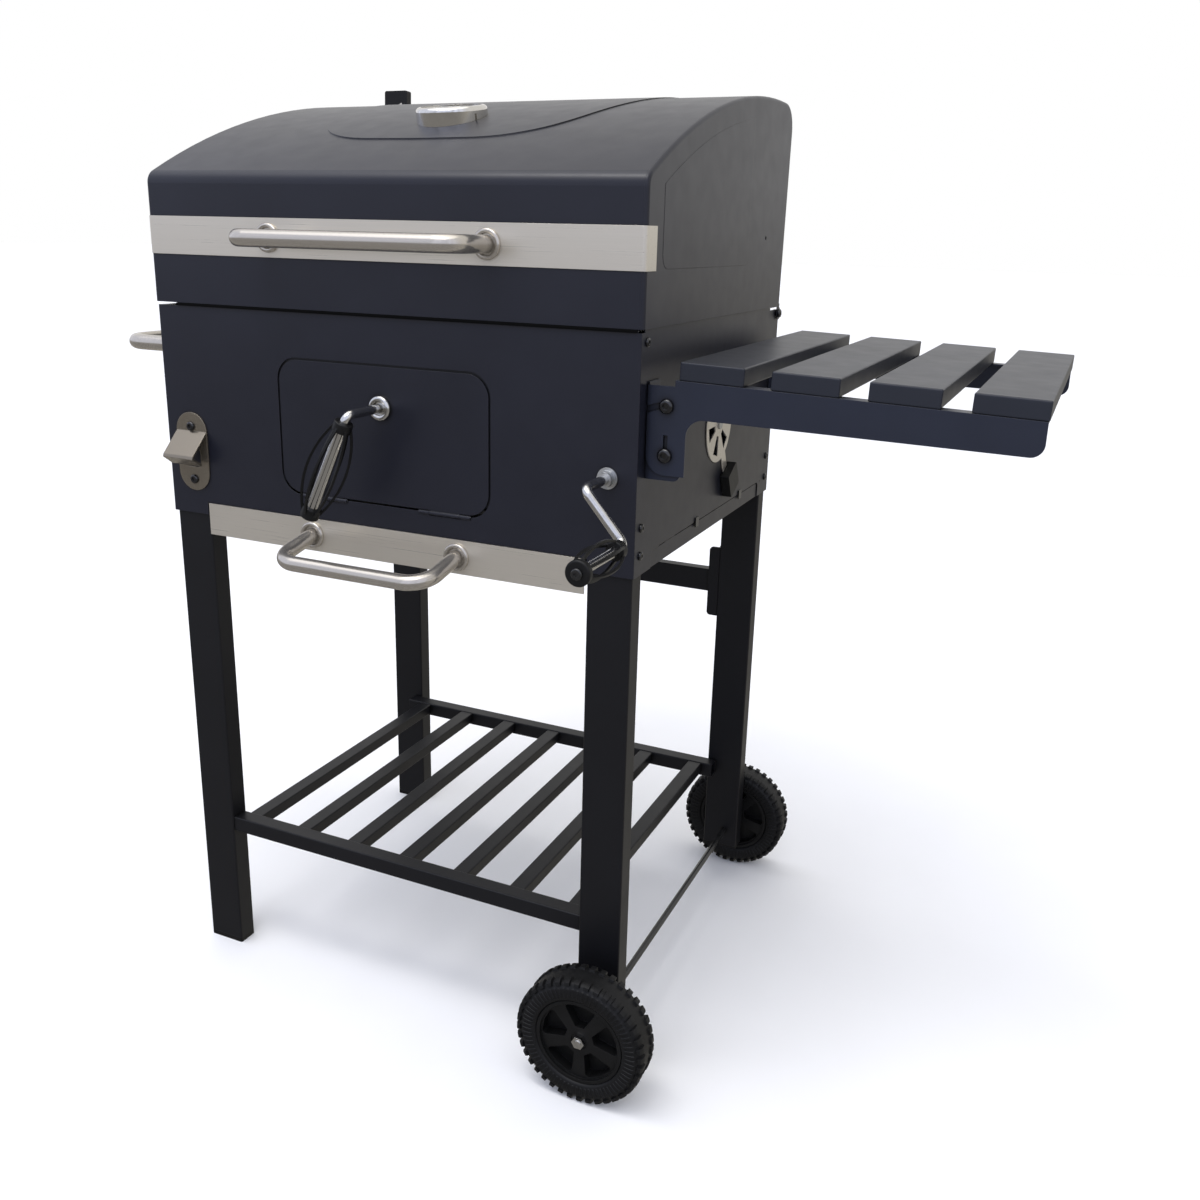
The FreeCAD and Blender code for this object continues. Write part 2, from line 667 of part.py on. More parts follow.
def lid_hinge_ear():
    inner = LID_HALF - LID_SHEET
    ear = rod(Vector(inner, HINGE_Y, HINGE_Z), Vector(LID_HALF, HINGE_Y, HINGE_Z), 8.0)
    neck = box(inner, LID_HALF, HINGE_Y - 8, HINGE_Y + 2, HINGE_Z, LID_BOTTOM + 4)
    bore = rod(Vector(inner - 1, HINGE_Y, HINGE_Z), Vector(LID_HALF + 1, HINGE_Y, HINGE_Z),
               3.0 + RUNNING_FIT)
    return fuse([ear, neck]).cut(bore)


def lid_shell(hollow):
    middle = box(-LID_HALF + 4, LID_HALF - 4, -50, 700, 700, 1300)
    sheet = hollow.common(middle)
    lip_bottom = UPSTAND_TOP + 0.3
    lip = box(-LID_HALF + 4, LID_HALF - 4, LID_FRONT + 0.5, 9, lip_bottom, lip_bottom + LID_SHEET)
    stem = thermometer_hole()
    vent = vent_holes()
    shell = cut(fuse([sheet, lip, crown_panel()]), [stem] + vent)
    return Part.makeCompound([shell, to_lid_rear(damper_rivet())])


def lid_sides(hollow):
    end = hollow.common(box(LID_HALF - 4, LID_HALF + 10, -50, 700, 700, 1300))
    hole = rod(Vector(0, 390, 924), Vector(400, 390, 924), 2.5)
    right = fuse([end, side_panel(), lid_hinge_ear()]).cut(hole)
    return Part.makeCompound([right, mirrored(right)])


def lid_strip():
    half = LID_HALF
    top = STRIP_Z + STRIP_HEIGHT
    outer = box(-half - 0.8, half + 0.8, LID_FRONT - 0.8, 22, STRIP_Z, top)
    outer = fillet_along(outer, Vector(0, 0, 1), 4.6, lambda centre: centre.y < 0)
    inner = box(-half, half, LID_FRONT, 30, STRIP_Z - 1, top + 1)
    inner = fillet_along(inner, Vector(0, 0, 1), 4.0, lambda centre: centre.y < 0)
    return outer.cut(inner)


def lid_handle():
    z = STRIP_Z + STRIP_HEIGHT / 2
    face = LID_FRONT - 0.8
    half = 134.5
    reach = -LID_HANDLE_REACH
    bar = tube([Vector(-half, face, z), Vector(-half, reach, z), Vector(half, reach, z),
                Vector(half, face, z)], HANDLE_RADIUS, 22)
    rosettes = [rosette(Vector(x, face, z), Vector(0, -1, 0), 15.5, 2.6) for x in (-half, half)]
    return fuse([bar] + rosettes)


def on_lid(shape):
    shape.rotate(Vector(0, 0, 0), Vector(1, 0, 0), THERMOMETER_TILT)
    shape.translate(Vector(0, THERMOMETER_Y, lid_arc_z(THERMOMETER_Y, -CROWN_RISE) - THERMOMETER_SINK))
    return shape


def thermometer_hole():
    return on_lid(Part.makeCylinder(5.0, 40, Vector(0, 0, -20)))


def thermometer_case():
    wall = Part.makeCylinder(40, 26, Vector(0, 0, -8))
    top = [edge for edge in wall.Edges if edge.Closed and edge.CenterOfMass.z > 10]
    wall = wall.makeFillet(5, top)
    bowl = Part.makeCylinder(34, 10, Vector(0, 0, 12))
    slit = box(37, 42, -1.3, 1.3, -10, 10)
    slit.rotate(Vector(0, 0, 0), Vector(0, 0, 1), -19)
    wall = on_lid(cut(wall, [bowl, slit])).cut(lid_block(-CROWN_RISE, LID_BOTTOM, LID_HALF - 20))
    stem = on_lid(Part.makeCylinder(5.0, 70, Vector(0, 0, -60)))
    return fuse([wall, stem])


def thermometer_dial():
    face = Part.makeCylinder(34, 1.2, Vector(0, 0, 12))
    hub = Part.makeCylinder(2.5, 2.6, Vector(0, 0, 12))
    pointer = box(-1.0, 1.0, -6, 26, 13.6, 14.2)
    pointer.rotate(Vector(0, 0, 0), Vector(0, 0, 1), 120)
    return on_lid(fuse([face, hub, pointer]))


def thermometer_glass():
    return on_lid(Part.makeCylinder(34, 1.6, Vector(0, 0, 15.2)))


# Dampers


def damper_disc(lever, fall):
    disc = rod(Vector(HALF + 0.4, DAMPER_Y, DAMPER_Z), Vector(HALF + 1.6, DAMPER_Y, DAMPER_Z),
               DAMPER_RADIUS)
    disc = cut(disc, damper_holes(0))
    arm = box(HALF + 0.4, HALF + 1.6, DAMPER_Y + 40, DAMPER_Y + lever, DAMPER_Z - 7, DAMPER_Z + 7)
    arm.rotate(Vector(0, DAMPER_Y, DAMPER_Z), Vector(1, 0, 0), -fall)
    bore = rod(Vector(HALF - 5, DAMPER_Y, DAMPER_Z), Vector(HALF + 5, DAMPER_Y, DAMPER_Z),
               3.0 + RUNNING_FIT)
    return fuse([disc, arm]).cut(bore)


def damper_cap(disc):
    x0 = HALF + 0.4
    middle = DAMPER_Y + DAMPER_LEVER
    cap = box(x0, x0 + 11, middle - 16, middle + 16, DAMPER_Z - 16, DAMPER_Z + 16)
    cap = fillet_along(cap, Vector(1, 0, 0), 3, lambda centre: True)
    cap.rotate(Vector(0, DAMPER_Y, DAMPER_Z), Vector(1, 0, 0), -DAMPER_FALL)
    return cap.cut(disc)


def vent_cap(disc):
    x0 = HALF + 0.4
    fall = math.radians(VENT_FALL)
    y = DAMPER_Y + VENT_LEVER * math.cos(fall)
    z = DAMPER_Z - VENT_LEVER * math.sin(fall)
    cap = box(x0, x0 + 11, y - 19, y + 19, z - 12, z + 12)
    return fillet_along(cap, Vector(1, 0, 0), 3, lambda centre: True).cut(disc)


def damper_rivet():
    shank = rod(Vector(HALF - 3, DAMPER_Y, DAMPER_Z), Vector(HALF + 2, DAMPER_Y, DAMPER_Z), 3.0)
    head = rod(Vector(HALF + 1.9, DAMPER_Y, DAMPER_Z), Vector(HALF + 3.6, DAMPER_Y, DAMPER_Z), 6.0)
    back = rod(Vector(HALF - 3, DAMPER_Y, DAMPER_Z), Vector(HALF - SHEET, DAMPER_Y, DAMPER_Z), 5.0)
    return fuse([shank, head, back])


def to_lid_rear(shape):
    # from the right side wall round to the leaning back of the lid, upside down
    lean = math.degrees(math.atan2(9.0, lid_arc_z(LID_BACK) - LID_BOTTOM))
    moved = shape.copy()
    moved.translate(Vector(-HALF, -DAMPER_Y, -DAMPER_Z))
    moved.rotate(Vector(0, 0, 0), Vector(1, 0, 0), 180)
    moved.rotate(Vector(0, 0, 0), Vector(0, 0, 1), 90)
    moved.rotate(Vector(0, 0, 0), Vector(1, 0, 0), -lean)
    face = LID_BACK - 9 * (1 - (VENT_Z - LID_BOTTOM) / (lid_arc_z(LID_BACK) - LID_BOTTOM))
    moved.translate(Vector(VENT_X, face, VENT_Z))
    return moved


def vent_holes():
    bore = rod(Vector(HALF - 10, DAMPER_Y, DAMPER_Z), Vector(HALF + 10, DAMPER_Y, DAMPER_Z), 3.0)
    return [to_lid_rear(hole) for hole in damper_holes(1.0) + [bore]]


# Coal door


def coal_door():
    plate = rounded_xz(DOOR_X - DOOR_HALF, DOOR_X + DOOR_HALF, DOOR_BOTTOM, DOOR_TOP, 0, SHEET, 25)
    parts = [plate]
    for side in (-1, 1):
        middle = DOOR_X + side * 79.0
        parts.append(box(middle - 18.7, middle + 18.7, 0, SHEET, DOOR_AXIS_Z + 1.6, DOOR_BOTTOM + 1))
    door = fuse(parts)
    for side in (-1, 1):
        door = fuse([door.cut(door_pin(side, 2.3)), knuckle(side, -18.7, 18.7)])
    bush = rod(Vector(STEM_X, SHEET, STEM_Z), Vector(STEM_X, 4.5, STEM_Z), 9.0)
    bore = rod(Vector(STEM_X, -10, STEM_Z), Vector(STEM_X, 10, STEM_Z), STEM_RADIUS + RUNNING_FIT)
    return fuse([door, bush]).cut(bore)


def grip_direction():
    turn = math.radians(GRIP_TILT)
    return Vector(-math.sin(turn), 0, -math.cos(turn))


def door_handle():
    down = grip_direction()
    corner = Vector(STEM_X, GRIP_Y, STEM_Z)
    end = GRIP_START + DOOR_GRIP
    stem = bent_rod([Vector(STEM_X, 8, STEM_Z), corner, corner + down * (end - 2)], STEM_RADIUS, GRIP_START)
    sleeve = rod(corner + down * (GRIP_START + 11), corner + down * (end - 13), STEM_RADIUS + 1.7)
    washer = rosette(Vector(STEM_X, -0.3, STEM_Z), Vector(0, -1, 0), 13.5, 3.2)
    tongue = rounded_xz(STEM_X - 10, STEM_X + 46, STEM_Z - 9, STEM_Z + 9, 5.2, 7.2, 8.5)
    return fuse([stem, sleeve, washer, tongue])


def cage_grip(length, end_radius, bulge, bore):
    # six thin ribs that bow out between two collars, pointing down from the origin
    parts = []
    for top, bottom in ((0, -11), (-length + 13, -length)):
        collar = Part.makeCylinder(end_radius, top - bottom, Vector(0, 0, bottom))
        parts.append(collar.makeFillet(1.5, [edge for edge in collar.Edges if edge.Closed]))
    middle = -length / 2
    reach = length / 2 - 5
    outer = end_radius - 0.4
    inner = end_radius - 3.2
    outer_arc = Part.Arc(Vector(outer, 0, middle + reach), Vector(bulge, 0, middle),
                         Vector(outer, 0, middle - reach)).toShape()
    inner_arc = Part.Arc(Vector(inner, 0, middle + reach), Vector(bulge - 2.8, 0, middle),
                         Vector(inner, 0, middle - reach)).toShape()
    ends = [Part.makeLine(Vector(outer, 0, z), Vector(inner, 0, z))
            for z in (middle + reach, middle - reach)]
    band = Part.Face(Part.Wire(Part.__sortEdges__([outer_arc, inner_arc] + ends)))
    rib = band.extrude(Vector(0, RIB_THICKNESS, 0))
    rib.translate(Vector(0, -RIB_THICKNESS / 2, 0))
    for number in range(6):
        copy = rib.copy()
        copy.rotate(Vector(0, 0, 0), Vector(0, 0, 1), 60 * number + 30)
        parts.append(copy)
    grip = fuse(parts)
    return grip.cut(Part.makeCylinder(bore, length * 2, Vector(0, 0, -length * 1.5)))


def door_grip():
    start = Vector(STEM_X, GRIP_Y, STEM_Z) + grip_direction() * GRIP_START
    grip = cage_grip(DOOR_GRIP, 10.2, 22.0, STEM_RADIUS)
    grip.rotate(Vector(0, 0, 0), Vector(0, 1, 0), GRIP_TILT)
    grip.translate(start)
    return grip


# Crank, pinions and lifted pan


def involute_pinion(y0, y1):
    pressure = math.radians(25)
    base = PINION_RADIUS * math.cos(pressure)
    tip = PINION_RADIUS + 0.8 * GEAR_MODULE
    root = PINION_RADIUS - 0.95 * GEAR_MODULE
    half_tooth = (math.pi / 2 - 0.28 / GEAR_MODULE) / PINION_TEETH
    half_base = half_tooth + math.tan(pressure) - pressure
    flank = []
    for step in range(7):
        radius = base + (tip - base) * step / 6
        roll = math.acos(base / radius)
        flank.append((radius, half_base - (math.tan(roll) - roll)))
    outline = []
    for tooth in range(PINION_TEETH):
        middle = math.pi + 2 * math.pi * tooth / PINION_TEETH
        side = [(root, -half_base)] + [(radius, -angle) for radius, angle in flank]
        other = [(radius, angle) for radius, angle in reversed(flank)] + [(root, half_base)]
        for radius, angle in side + other:
            outline.append((CRANK_X + radius * math.cos(middle + angle),
                            CRANK_Z + radius * math.sin(middle + angle)))
    return plate_xz(outline, y0, y1)


def pan_rack(y0, y1):
    pitch_x = CRANK_X - PINION_RADIUS
    step = math.pi * GEAR_MODULE
    rise = math.tan(math.radians(25))
    half = step / 4 - 0.07
    tip = pitch_x + 0.8 * GEAR_MODULE
    root = pitch_x - 0.95 * GEAR_MODULE
    outline = [(root - 6, 614.5), (root, 614.5)]
    for number in range(-12, 4):
        middle = CRANK_Z + step * (number + 0.5)
        wide = half + 0.95 * GEAR_MODULE * rise
        narrow = half - 0.8 * GEAR_MODULE * rise
        if middle - wide < 615:
            continue
        outline += [(root, middle - wide), (tip, middle - narrow), (tip, middle + narrow),
                    (root, middle + wide)]
    outline += [(root, 718), (root - 6, 718)]
    strip = plate_xz(outline, y0, y1)
    block = box(240, root - 4, y0, y1, 648, 688)
    return fuse([strip, block])


def crank_elbow():
    turn = math.radians(CRANK_TURN)
    corner = Vector(CRANK_X, CRANK_OUT, CRANK_Z)
    return corner, corner + Vector(CRANK_ARM * math.sin(turn), 0, -CRANK_ARM * math.cos(turn))


def crank_shaft():
    corner, end = crank_elbow()
    tip = end + Vector(0, -14 - CRANK_GRIP, 0)
    wide = bent_rod([Vector(CRANK_X, 440, CRANK_Z), corner, end, tip], CRANK_RADIUS, 9)
    pinions = [involute_pinion(56, 64), involute_pinion(416, 424)]
    return fuse([wide] + pinions + [screw_head(tip, Vector(0, -1, 0), 5.5, 2.4)])


def crank_grip():
    bore = CRANK_RADIUS + RUNNING_FIT
    cap = Part.makeCylinder(12.3, 8.0, Vector(0, 0, -CRANK_GRIP))
    cap = cap.makeFillet(2.0, [edge for edge in cap.Edges if edge.Closed])
    cap = cap.cut(Part.makeCylinder(bore, 20, Vector(0, 0, -CRANK_GRIP - 5)))
    grip = fuse([cage_grip(CRANK_GRIP, 9.6, 17.5, bore), cap])
    grip.rotate(Vector(0, 0, 0), Vector(1, 0, 0), -90)
    grip.translate(crank_elbow()[1] + Vector(0, -13.5, 0))
    return grip


def crank_bearings():
    bore = rod(Vector(CRANK_X, -20, CRANK_Z), Vector(CRANK_X, 450, CRANK_Z),
               CRANK_RADIUS + RUNNING_FIT)
    bush = rod(Vector(CRANK_X, -10, CRANK_Z), Vector(CRANK_X, 6, CRANK_Z), COLLAR_RADIUS)
    flange = rod(Vector(CRANK_X, -1.6, CRANK_Z), Vector(CRANK_X, 0, CRANK_Z), 11.0)
    front = fuse([bush, flange]).cut(bore)
    back_plate = box(CRANK_X - 12, HALF - SHEET, 431, 434, CRANK_Z - 14, CRANK_Z + 14)
    wall_leaf = box(HALF - SHEET - 3, HALF - SHEET, 431, 452, CRANK_Z - 14, CRANK_Z + 14)
    return Part.makeCompound([front, fuse([back_plate, wall_leaf]).cut(bore)])


def pan_lift_frame():
    parts = [pan_rack(56, 64), pan_rack(416, 424)]
    for y in (100, 380):
        parts.append(box(-289, -240, y - 7, y + 7, 655, 680))
    return Part.makeCompound(parts)


def pan_guides():
    guides = []
    inside = -HALF + SHEET
    for y in (100, 380):
        back = box(inside, inside + SHEET, y - 10, y + 10, 630, 765)
        near = box(inside, inside + 18, y - 10, y - 8.8, 630, 765)
        far = box(inside, inside + 18, y + 8.8, y + 10, 630, 765)
        guides.append(fuse([back, near, far]))
    return Part.makeCompound(guides)


def charcoal_pan():
    outer = box(-240, 240, 35, 445, 640, 695)
    inner = box(-238.8, 238.8, 36.2, 443.8, 641.2, 700)
    slots = []
    for column in range(6):
        for row in range(5):
            x = -187.5 + 75 * column
            y = 88 + 76 * row
            slots.append(box(x - 22, x + 22, y - 4, y + 4, 630, 650))
    return cut(outer, [inner] + slots)


def charcoal_grate():
    parts = []
    for y in (80, 400):
        parts.append(rod(Vector(-232, y, 644.2), Vector(232, y, 644.2), 3.0))
    for number in range(15):
        x = -224 + 32 * number
        parts.append(rod(Vector(x, 44, 648.7), Vector(x, 436, 648.7), 2.5))
    return fuse(parts)


# Folding shelf


def arm_z(x, drop=0.0):
    return SHELF_TOP - BOARD_THICKNESS - SHELF_SLOPE * (x - HALF) - drop


def shelf_end():
    return HALF + 32.5 + BOARD_PITCH * (BOARD_COUNT - 1) + BOARD_WIDTH


def shelf_bracket():
    y0 = BRACKET_Y
    y1 = BRACKET_Y + 2
    inner = HALF + 0.8
    outer = shelf_end() - 1
    right = PIVOT_X + 20.4
    bottom = PIVOT_Z - 20.0
    plate = box(inner, right, y0, y1, bottom, arm_z(HALF + 30) - 6)
    corner = box(inner, PIVOT_X, y0, y1, bottom, PIVOT_Z)
    corner = corner.cut(rod(Vector(PIVOT_X, y0 - 1, PIVOT_Z), Vector(PIVOT_X, y1 + 1, PIVOT_Z),
                            20.2))
    arm = plate_xz([(HALF + 29, arm_z(HALF + 29, 36)), (outer, arm_z(outer, 32)),
                    (outer, arm_z(outer)), (HALF + 29, arm_z(HALF + 29))], y0, y1)
    arm = fillet_along(arm, Vector(0, 1, 0), 12, lambda centre: centre.x > outer - 5
                       and centre.z < arm_z(outer, 20))
    web = box(right - 2, right + 18, y0, y1, arm_z(right, 54), arm_z(right, 30))
    web = web.cut(rod(Vector(right + 18, y0 - 1, arm_z(right, 54)),
                      Vector(right + 18, y1 + 1, arm_z(right, 54)), 18))
    flange = plate_xz([(HALF + 29, arm_z(HALF + 29, 2)), (outer, arm_z(outer, 2)),
                       (outer, arm_z(outer)), (HALF + 29, arm_z(HALF + 29))], y0, y1 + 15)
    bracket = fuse([plate.cut(corner), arm, web, flange])
    bore = rod(Vector(PIVOT_X, y0 - 1, PIVOT_Z), Vector(PIVOT_X, y1 + 1, PIVOT_Z),
               3.0 + RUNNING_FIT)
    slot = box(PIVOT_X - 2.2, PIVOT_X + 2.2, y0 - 1, y1 + 1, PIVOT_Z, PIVOT_Z + 20)
    return cut(bracket, [bore, slot, latch_notch(y0 - 1, y1 + 1)])


def latch_notch(y0, y1):
    reach = LATCH_Z - PIVOT_Z
    centre = Vector(PIVOT_X, y0, PIVOT_Z)
    ring = Part.makeCylinder(reach + 3.4, y1 - y0, centre, Vector(0, 1, 0))
    ring = ring.cut(Part.makeCylinder(reach - 3.4, y1 - y0, centre, Vector(0, 1, 0)))
    quarter = box(PIVOT_X - 100, PIVOT_X, y0, y1, PIVOT_Z, PIVOT_Z + 100)
    seat = rod(Vector(PIVOT_X, y0, LATCH_Z), Vector(PIVOT_X, y1, LATCH_Z), 3.4)
    return fuse([ring.common(quarter), seat])


def shelf_hanger():
    y0 = BRACKET_Y + 2.4
    flange = box(HALF, HALF + 37, y0, y0 + 2, 692, 780)
    flange = fillet_along(flange, Vector(0, 1, 0), 8, lambda centre: centre.x > HALF + 20)
    leaf = box(HALF, HALF + 2, y0, y0 + 28, 692, 788)
    hanger = fuse([flange, leaf])
    bores = [rod(Vector(PIVOT_X, 0, z), Vector(PIVOT_X, 60, z), 3.0) for z in (PIVOT_Z, LATCH_Z)]
    return cut(hanger, bores)


def shelf_hangers():
    hanger = shelf_hanger()
    return Part.makeCompound([hanger, mirrored_depth(hanger, SHELF_MIDDLE)])


def shelf_bolts():
    bolts = []
    for z in (PIVOT_Z, LATCH_Z):
        head = screw_head(Vector(PIVOT_X, BRACKET_Y - 0.3, z), Vector(0, -1, 0), 7.4, 4.4)
        shank = rod(Vector(PIVOT_X, BRACKET_Y - 1.0, z), Vector(PIVOT_X, BRACKET_Y + 9, z), 3.0)
        nut = hexagon(Vector(PIVOT_X, BRACKET_Y + 4.4, z), 5.8, 4.0)
        bolt = fuse([head, shank, nut])
        bolts += [bolt, mirrored_depth(bolt, SHELF_MIDDLE)]
    return Part.makeCompound(bolts)


def shelf_boards():
    boards = []
    for number in range(BOARD_COUNT):
        x0 = HALF + 32.5 + BOARD_PITCH * number
        board = box(0, BOARD_WIDTH, BRACKET_Y, 2 * SHELF_MIDDLE - BRACKET_Y, 0, BOARD_THICKNESS)
        board = board.makeFillet(1.5, board.Edges)
        board.rotate(Vector(0, 0, 0), Vector(0, 1, 0), math.degrees(SHELF_ANGLE))
        board.translate(Vector(x0, 0, arm_z(x0) + 0.01))
        boards.append(board)
    return Part.makeCompound(boards)


def lid_hinge_pins():
    start = Vector(HALF - 4, HINGE_Y, HINGE_Z)
    shank = rod(start, Vector(LID_HALF + 1, HINGE_Y, HINGE_Z), 3.0)
    head = screw_head(Vector(LID_HALF + 0.3, HINGE_Y, HINGE_Z), Vector(1, 0, 0), 5.5, 3.0)
    nut = rod(start, Vector(HALF - SHEET, HINGE_Y, HINGE_Z), 5.0)
    pin = fuse([shank, head, nut])
    return Part.makeCompound([pin, mirrored(pin)])


def damper_rivets():
    rivet = damper_rivet()
    return Part.makeCompound([rivet, mirrored(rivet)])


def all_parts():
    hollow = lid_hollow()
    right_damper = damper_disc(DAMPER_LEVER, DAMPER_FALL)
    right_cap = damper_cap(right_damper)
    vent_disc = damper_disc(VENT_LEVER - 8.3, VENT_FALL)
    return {
        "firebox_front_panel": firebox_front_panel(),
        "firebox_rear_panel": firebox_rear_panel(),
        "firebox_left_side": mirrored(firebox_side(30.0)),
        "firebox_right_side": firebox_side(8.0),
        "firebox_floor": firebox_floor(),
        "coal_door_frame": coal_door_frame(),
        "grate_ledges": grate_ledges(),
        "cooking_grate_left": cooking_grate(-HALF + 6, -3.6),
        "cooking_grate_right": cooking_grate(3.6, HALF - 6),
        "leg_front_left": leg(True, True),
        "leg_rear_left": leg(True, False),
        "leg_front_right": leg(False, True),
        "leg_rear_right": leg(False, False),
        "foot_caps": foot_caps(),
        "rear_crossbar": rear_crossbar(),
        "rack_rails": rack_rails(),
        "rack_slats": rack_slats(),
        "drawer_runners": drawer_runners(),
        "axle": axle(),
        "bottle_opener": bottle_opener(),
        "side_handle": side_handle(),
        "crank_bearings": crank_bearings(),
        "shelf_hangers": shelf_hangers(),
        "shelf_bolts": shelf_bolts(),
        "body_screws": body_screws(),
        "pan_guides": pan_guides(),
        "lid_hinge_pins": lid_hinge_pins(),
        "door_hinge_pins": door_hinge_pins(),
        "damper_rivets": damper_rivets(),
        "lid_shell": lid_shell(hollow),
        "lid_sides": lid_sides(hollow),
        "lid_strip": lid_strip(),
        "lid_handle": lid_handle(),
        "thermometer_case": thermometer_case(),
        "thermometer_dial": thermometer_dial(),
        "thermometer_glass": thermometer_glass(),
        "lid_vent_disc": to_lid_rear(vent_disc),
        "lid_vent_cap": to_lid_rear(vent_cap(vent_disc)),
        "coal_door": coal_door(),
        "door_handle": door_handle(),
        "door_grip": door_grip(),
        "crank_shaft": crank_shaft(),
        "crank_grip": crank_grip(),
        "charcoal_pan": charcoal_pan(),
        "pan_lift_frame": pan_lift_frame(),
        "charcoal_grate": charcoal_grate(),
        "ash_tray": ash_tray(),
        "drawer_front": drawer_front(),
        "drawer_handle": drawer_handle(),
        "right_damper": right_damper,
        "right_damper_cap": right_cap,
        "left_damper": mirrored(right_damper),
        "left_damper_cap": mirrored(right_cap),
        "shelf_bracket_front": shelf_bracket(),
        "shelf_bracket_rear": mirrored_depth(shelf_bracket(), SHELF_MIDDLE),
        "shelf_boards": shelf_boards(),
        "front_wheel_tyre": wheel_tyre(True),
        "front_wheel_hub": wheel_hub(True),
        "rear_wheel_tyre": wheel_tyre(False),
        "rear_wheel_hub": wheel_hub(False),
    }


def export_all():
    os.makedirs("parts", exist_ok=True)
    parts = all_parts()
    whole = Part.makeCompound(list(parts.values())).optimalBoundingBox(False)
    middle = Vector((whole.XMin + whole.XMax) / 2, (whole.YMin + whole.YMax) / 2, whole.ZMin)
    print("origin moved by", -middle.x, -middle.y, -middle.z)
    print("size", whole.XLength, whole.YLength, whole.ZLength)
    for node, shape in parts.items():
        shape.translate(-middle)
        shape.exportStep("parts/" + node + ".step")
        print(node, "valid", shape.isValid(), "solids", len(shape.Solids), round(shape.Volume, 1))


export_all()
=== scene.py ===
"""Charcoal grill cart: looks, detail pieces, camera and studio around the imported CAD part."""

import json
import math

import bmesh
import bpy
from mathutils import Matrix, Vector


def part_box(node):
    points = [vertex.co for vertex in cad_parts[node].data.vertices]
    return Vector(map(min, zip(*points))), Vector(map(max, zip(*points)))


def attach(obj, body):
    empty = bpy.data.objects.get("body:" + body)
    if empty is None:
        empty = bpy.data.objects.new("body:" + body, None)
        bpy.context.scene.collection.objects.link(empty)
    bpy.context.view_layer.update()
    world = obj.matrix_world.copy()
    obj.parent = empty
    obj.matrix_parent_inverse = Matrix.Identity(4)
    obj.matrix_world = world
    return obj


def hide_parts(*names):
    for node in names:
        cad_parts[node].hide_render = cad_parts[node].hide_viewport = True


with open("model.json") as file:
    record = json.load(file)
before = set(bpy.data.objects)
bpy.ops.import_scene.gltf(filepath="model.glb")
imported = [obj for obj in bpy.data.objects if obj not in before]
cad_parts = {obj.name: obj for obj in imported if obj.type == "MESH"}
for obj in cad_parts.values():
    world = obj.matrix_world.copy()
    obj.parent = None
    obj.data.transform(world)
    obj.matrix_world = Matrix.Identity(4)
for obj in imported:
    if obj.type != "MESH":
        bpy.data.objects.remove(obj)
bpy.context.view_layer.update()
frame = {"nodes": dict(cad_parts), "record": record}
NODES = frame["nodes"]
MM = 0.001


# ---------------------------------------------------------------- materials

def new_material(name):
    material = bpy.data.materials.new(name)
    material.use_nodes = True
    tree = material.node_tree
    tree.nodes.clear()
    output = tree.nodes.new("ShaderNodeOutputMaterial")
    shader = tree.nodes.new("ShaderNodeBsdfPrincipled")
    tree.links.new(shader.outputs["BSDF"], output.inputs["Surface"])
    return material, tree, shader


def set_inputs(node, values):
    for key, value in values.items():
        node.inputs[key].default_value = value


def object_coordinates(tree, scale=(1, 1, 1)):
    coordinates = tree.nodes.new("ShaderNodeTexCoord")
    mapping = tree.nodes.new("ShaderNodeMapping")
    mapping.inputs["Scale"].default_value = scale
    tree.links.new(coordinates.outputs["Object"], mapping.inputs["Vector"])
    return mapping.outputs["Vector"]


def noise(tree, vector, scale, detail=3.0, rough=0.5):
    node = tree.nodes.new("ShaderNodeTexNoise")
    set_inputs(node, {"Scale": scale, "Detail": detail, "Roughness": rough})
    tree.links.new(vector, node.inputs["Vector"])
    return node.outputs["Fac"]


def ramp(tree, factor, stops):
    """stops: (position, grey or colour) pairs."""
    node = tree.nodes.new("ShaderNodeValToRGB")
    elements = node.color_ramp.elements
    while len(elements) < len(stops):
        elements.new(0.5)
    for element, (position, colour) in zip(elements, stops):
        element.position = position
        if isinstance(colour, (int, float)):
            colour = (colour, colour, colour)
        element.color = (*colour[:3], 1)
    tree.links.new(factor, node.inputs["Fac"])
    return node.outputs["Color"]


def spread(tree, factor, low, high):
    """A 0..1 factor moved to low..high."""
    node = tree.nodes.new("ShaderNodeMapRange")
    set_inputs(node, {"To Min": low, "To Max": high})
    tree.links.new(factor, node.inputs["Value"])
    return node.outputs["Result"]


def mix_colours(tree, factor, first, second):
    """first where the factor is 0, second where it is 1; each is a colour or a socket."""
    node = tree.nodes.new("ShaderNodeMix")
    node.data_type = "RGBA"
    factor_in, first_in, second_in = node.inputs[0], node.inputs[6], node.inputs[7]
    tree.links.new(factor, factor_in)
    for value, socket in ((first, first_in), (second, second_in)):
        if isinstance(value, tuple):
            socket.default_value = (*value[:3], 1)
        else:
            tree.links.new(value, socket)
    return node.outputs[2]


def bump(tree, height, distance, strength, normal):
    node = tree.nodes.new("ShaderNodeBump")
    set_inputs(node, {"Distance": distance, "Strength": strength})
    tree.links.new(height, node.inputs["Height"])
    tree.links.new(normal, node.inputs["Normal"])
    return node.outputs["Normal"]


def soft_edges(tree, radius):
    """A normal that rounds every edge by the radius."""
    node = tree.nodes.new("ShaderNodeBevel")
    node.samples = 4
    node.inputs["Radius"].default_value = radius
    return node.outputs["Normal"]


def crevice_shade_factor(tree, distance, low, high):
    """A factor from low, deep in a gap narrower than the distance, to high, in the open; used to paint
    shade into creases and recesses.
    """
    node = tree.nodes.new("ShaderNodeAmbientOcclusion")
    node.samples = 6
    node.inputs["Distance"].default_value = distance
    return spread(tree, node.outputs["AO"], low, high)


def tinted(colour, amount):
    return tuple(min(c * amount, 1) for c in colour)


# Painted shade in seams and recesses: how far the ambient-occlusion darkening reaches, and its
# near-black colour
CREVICE_SHADE_REACH = 6 * MM
CREVICE_SHADE_COLOUR = (0.0008, 0.0008, 0.0008)


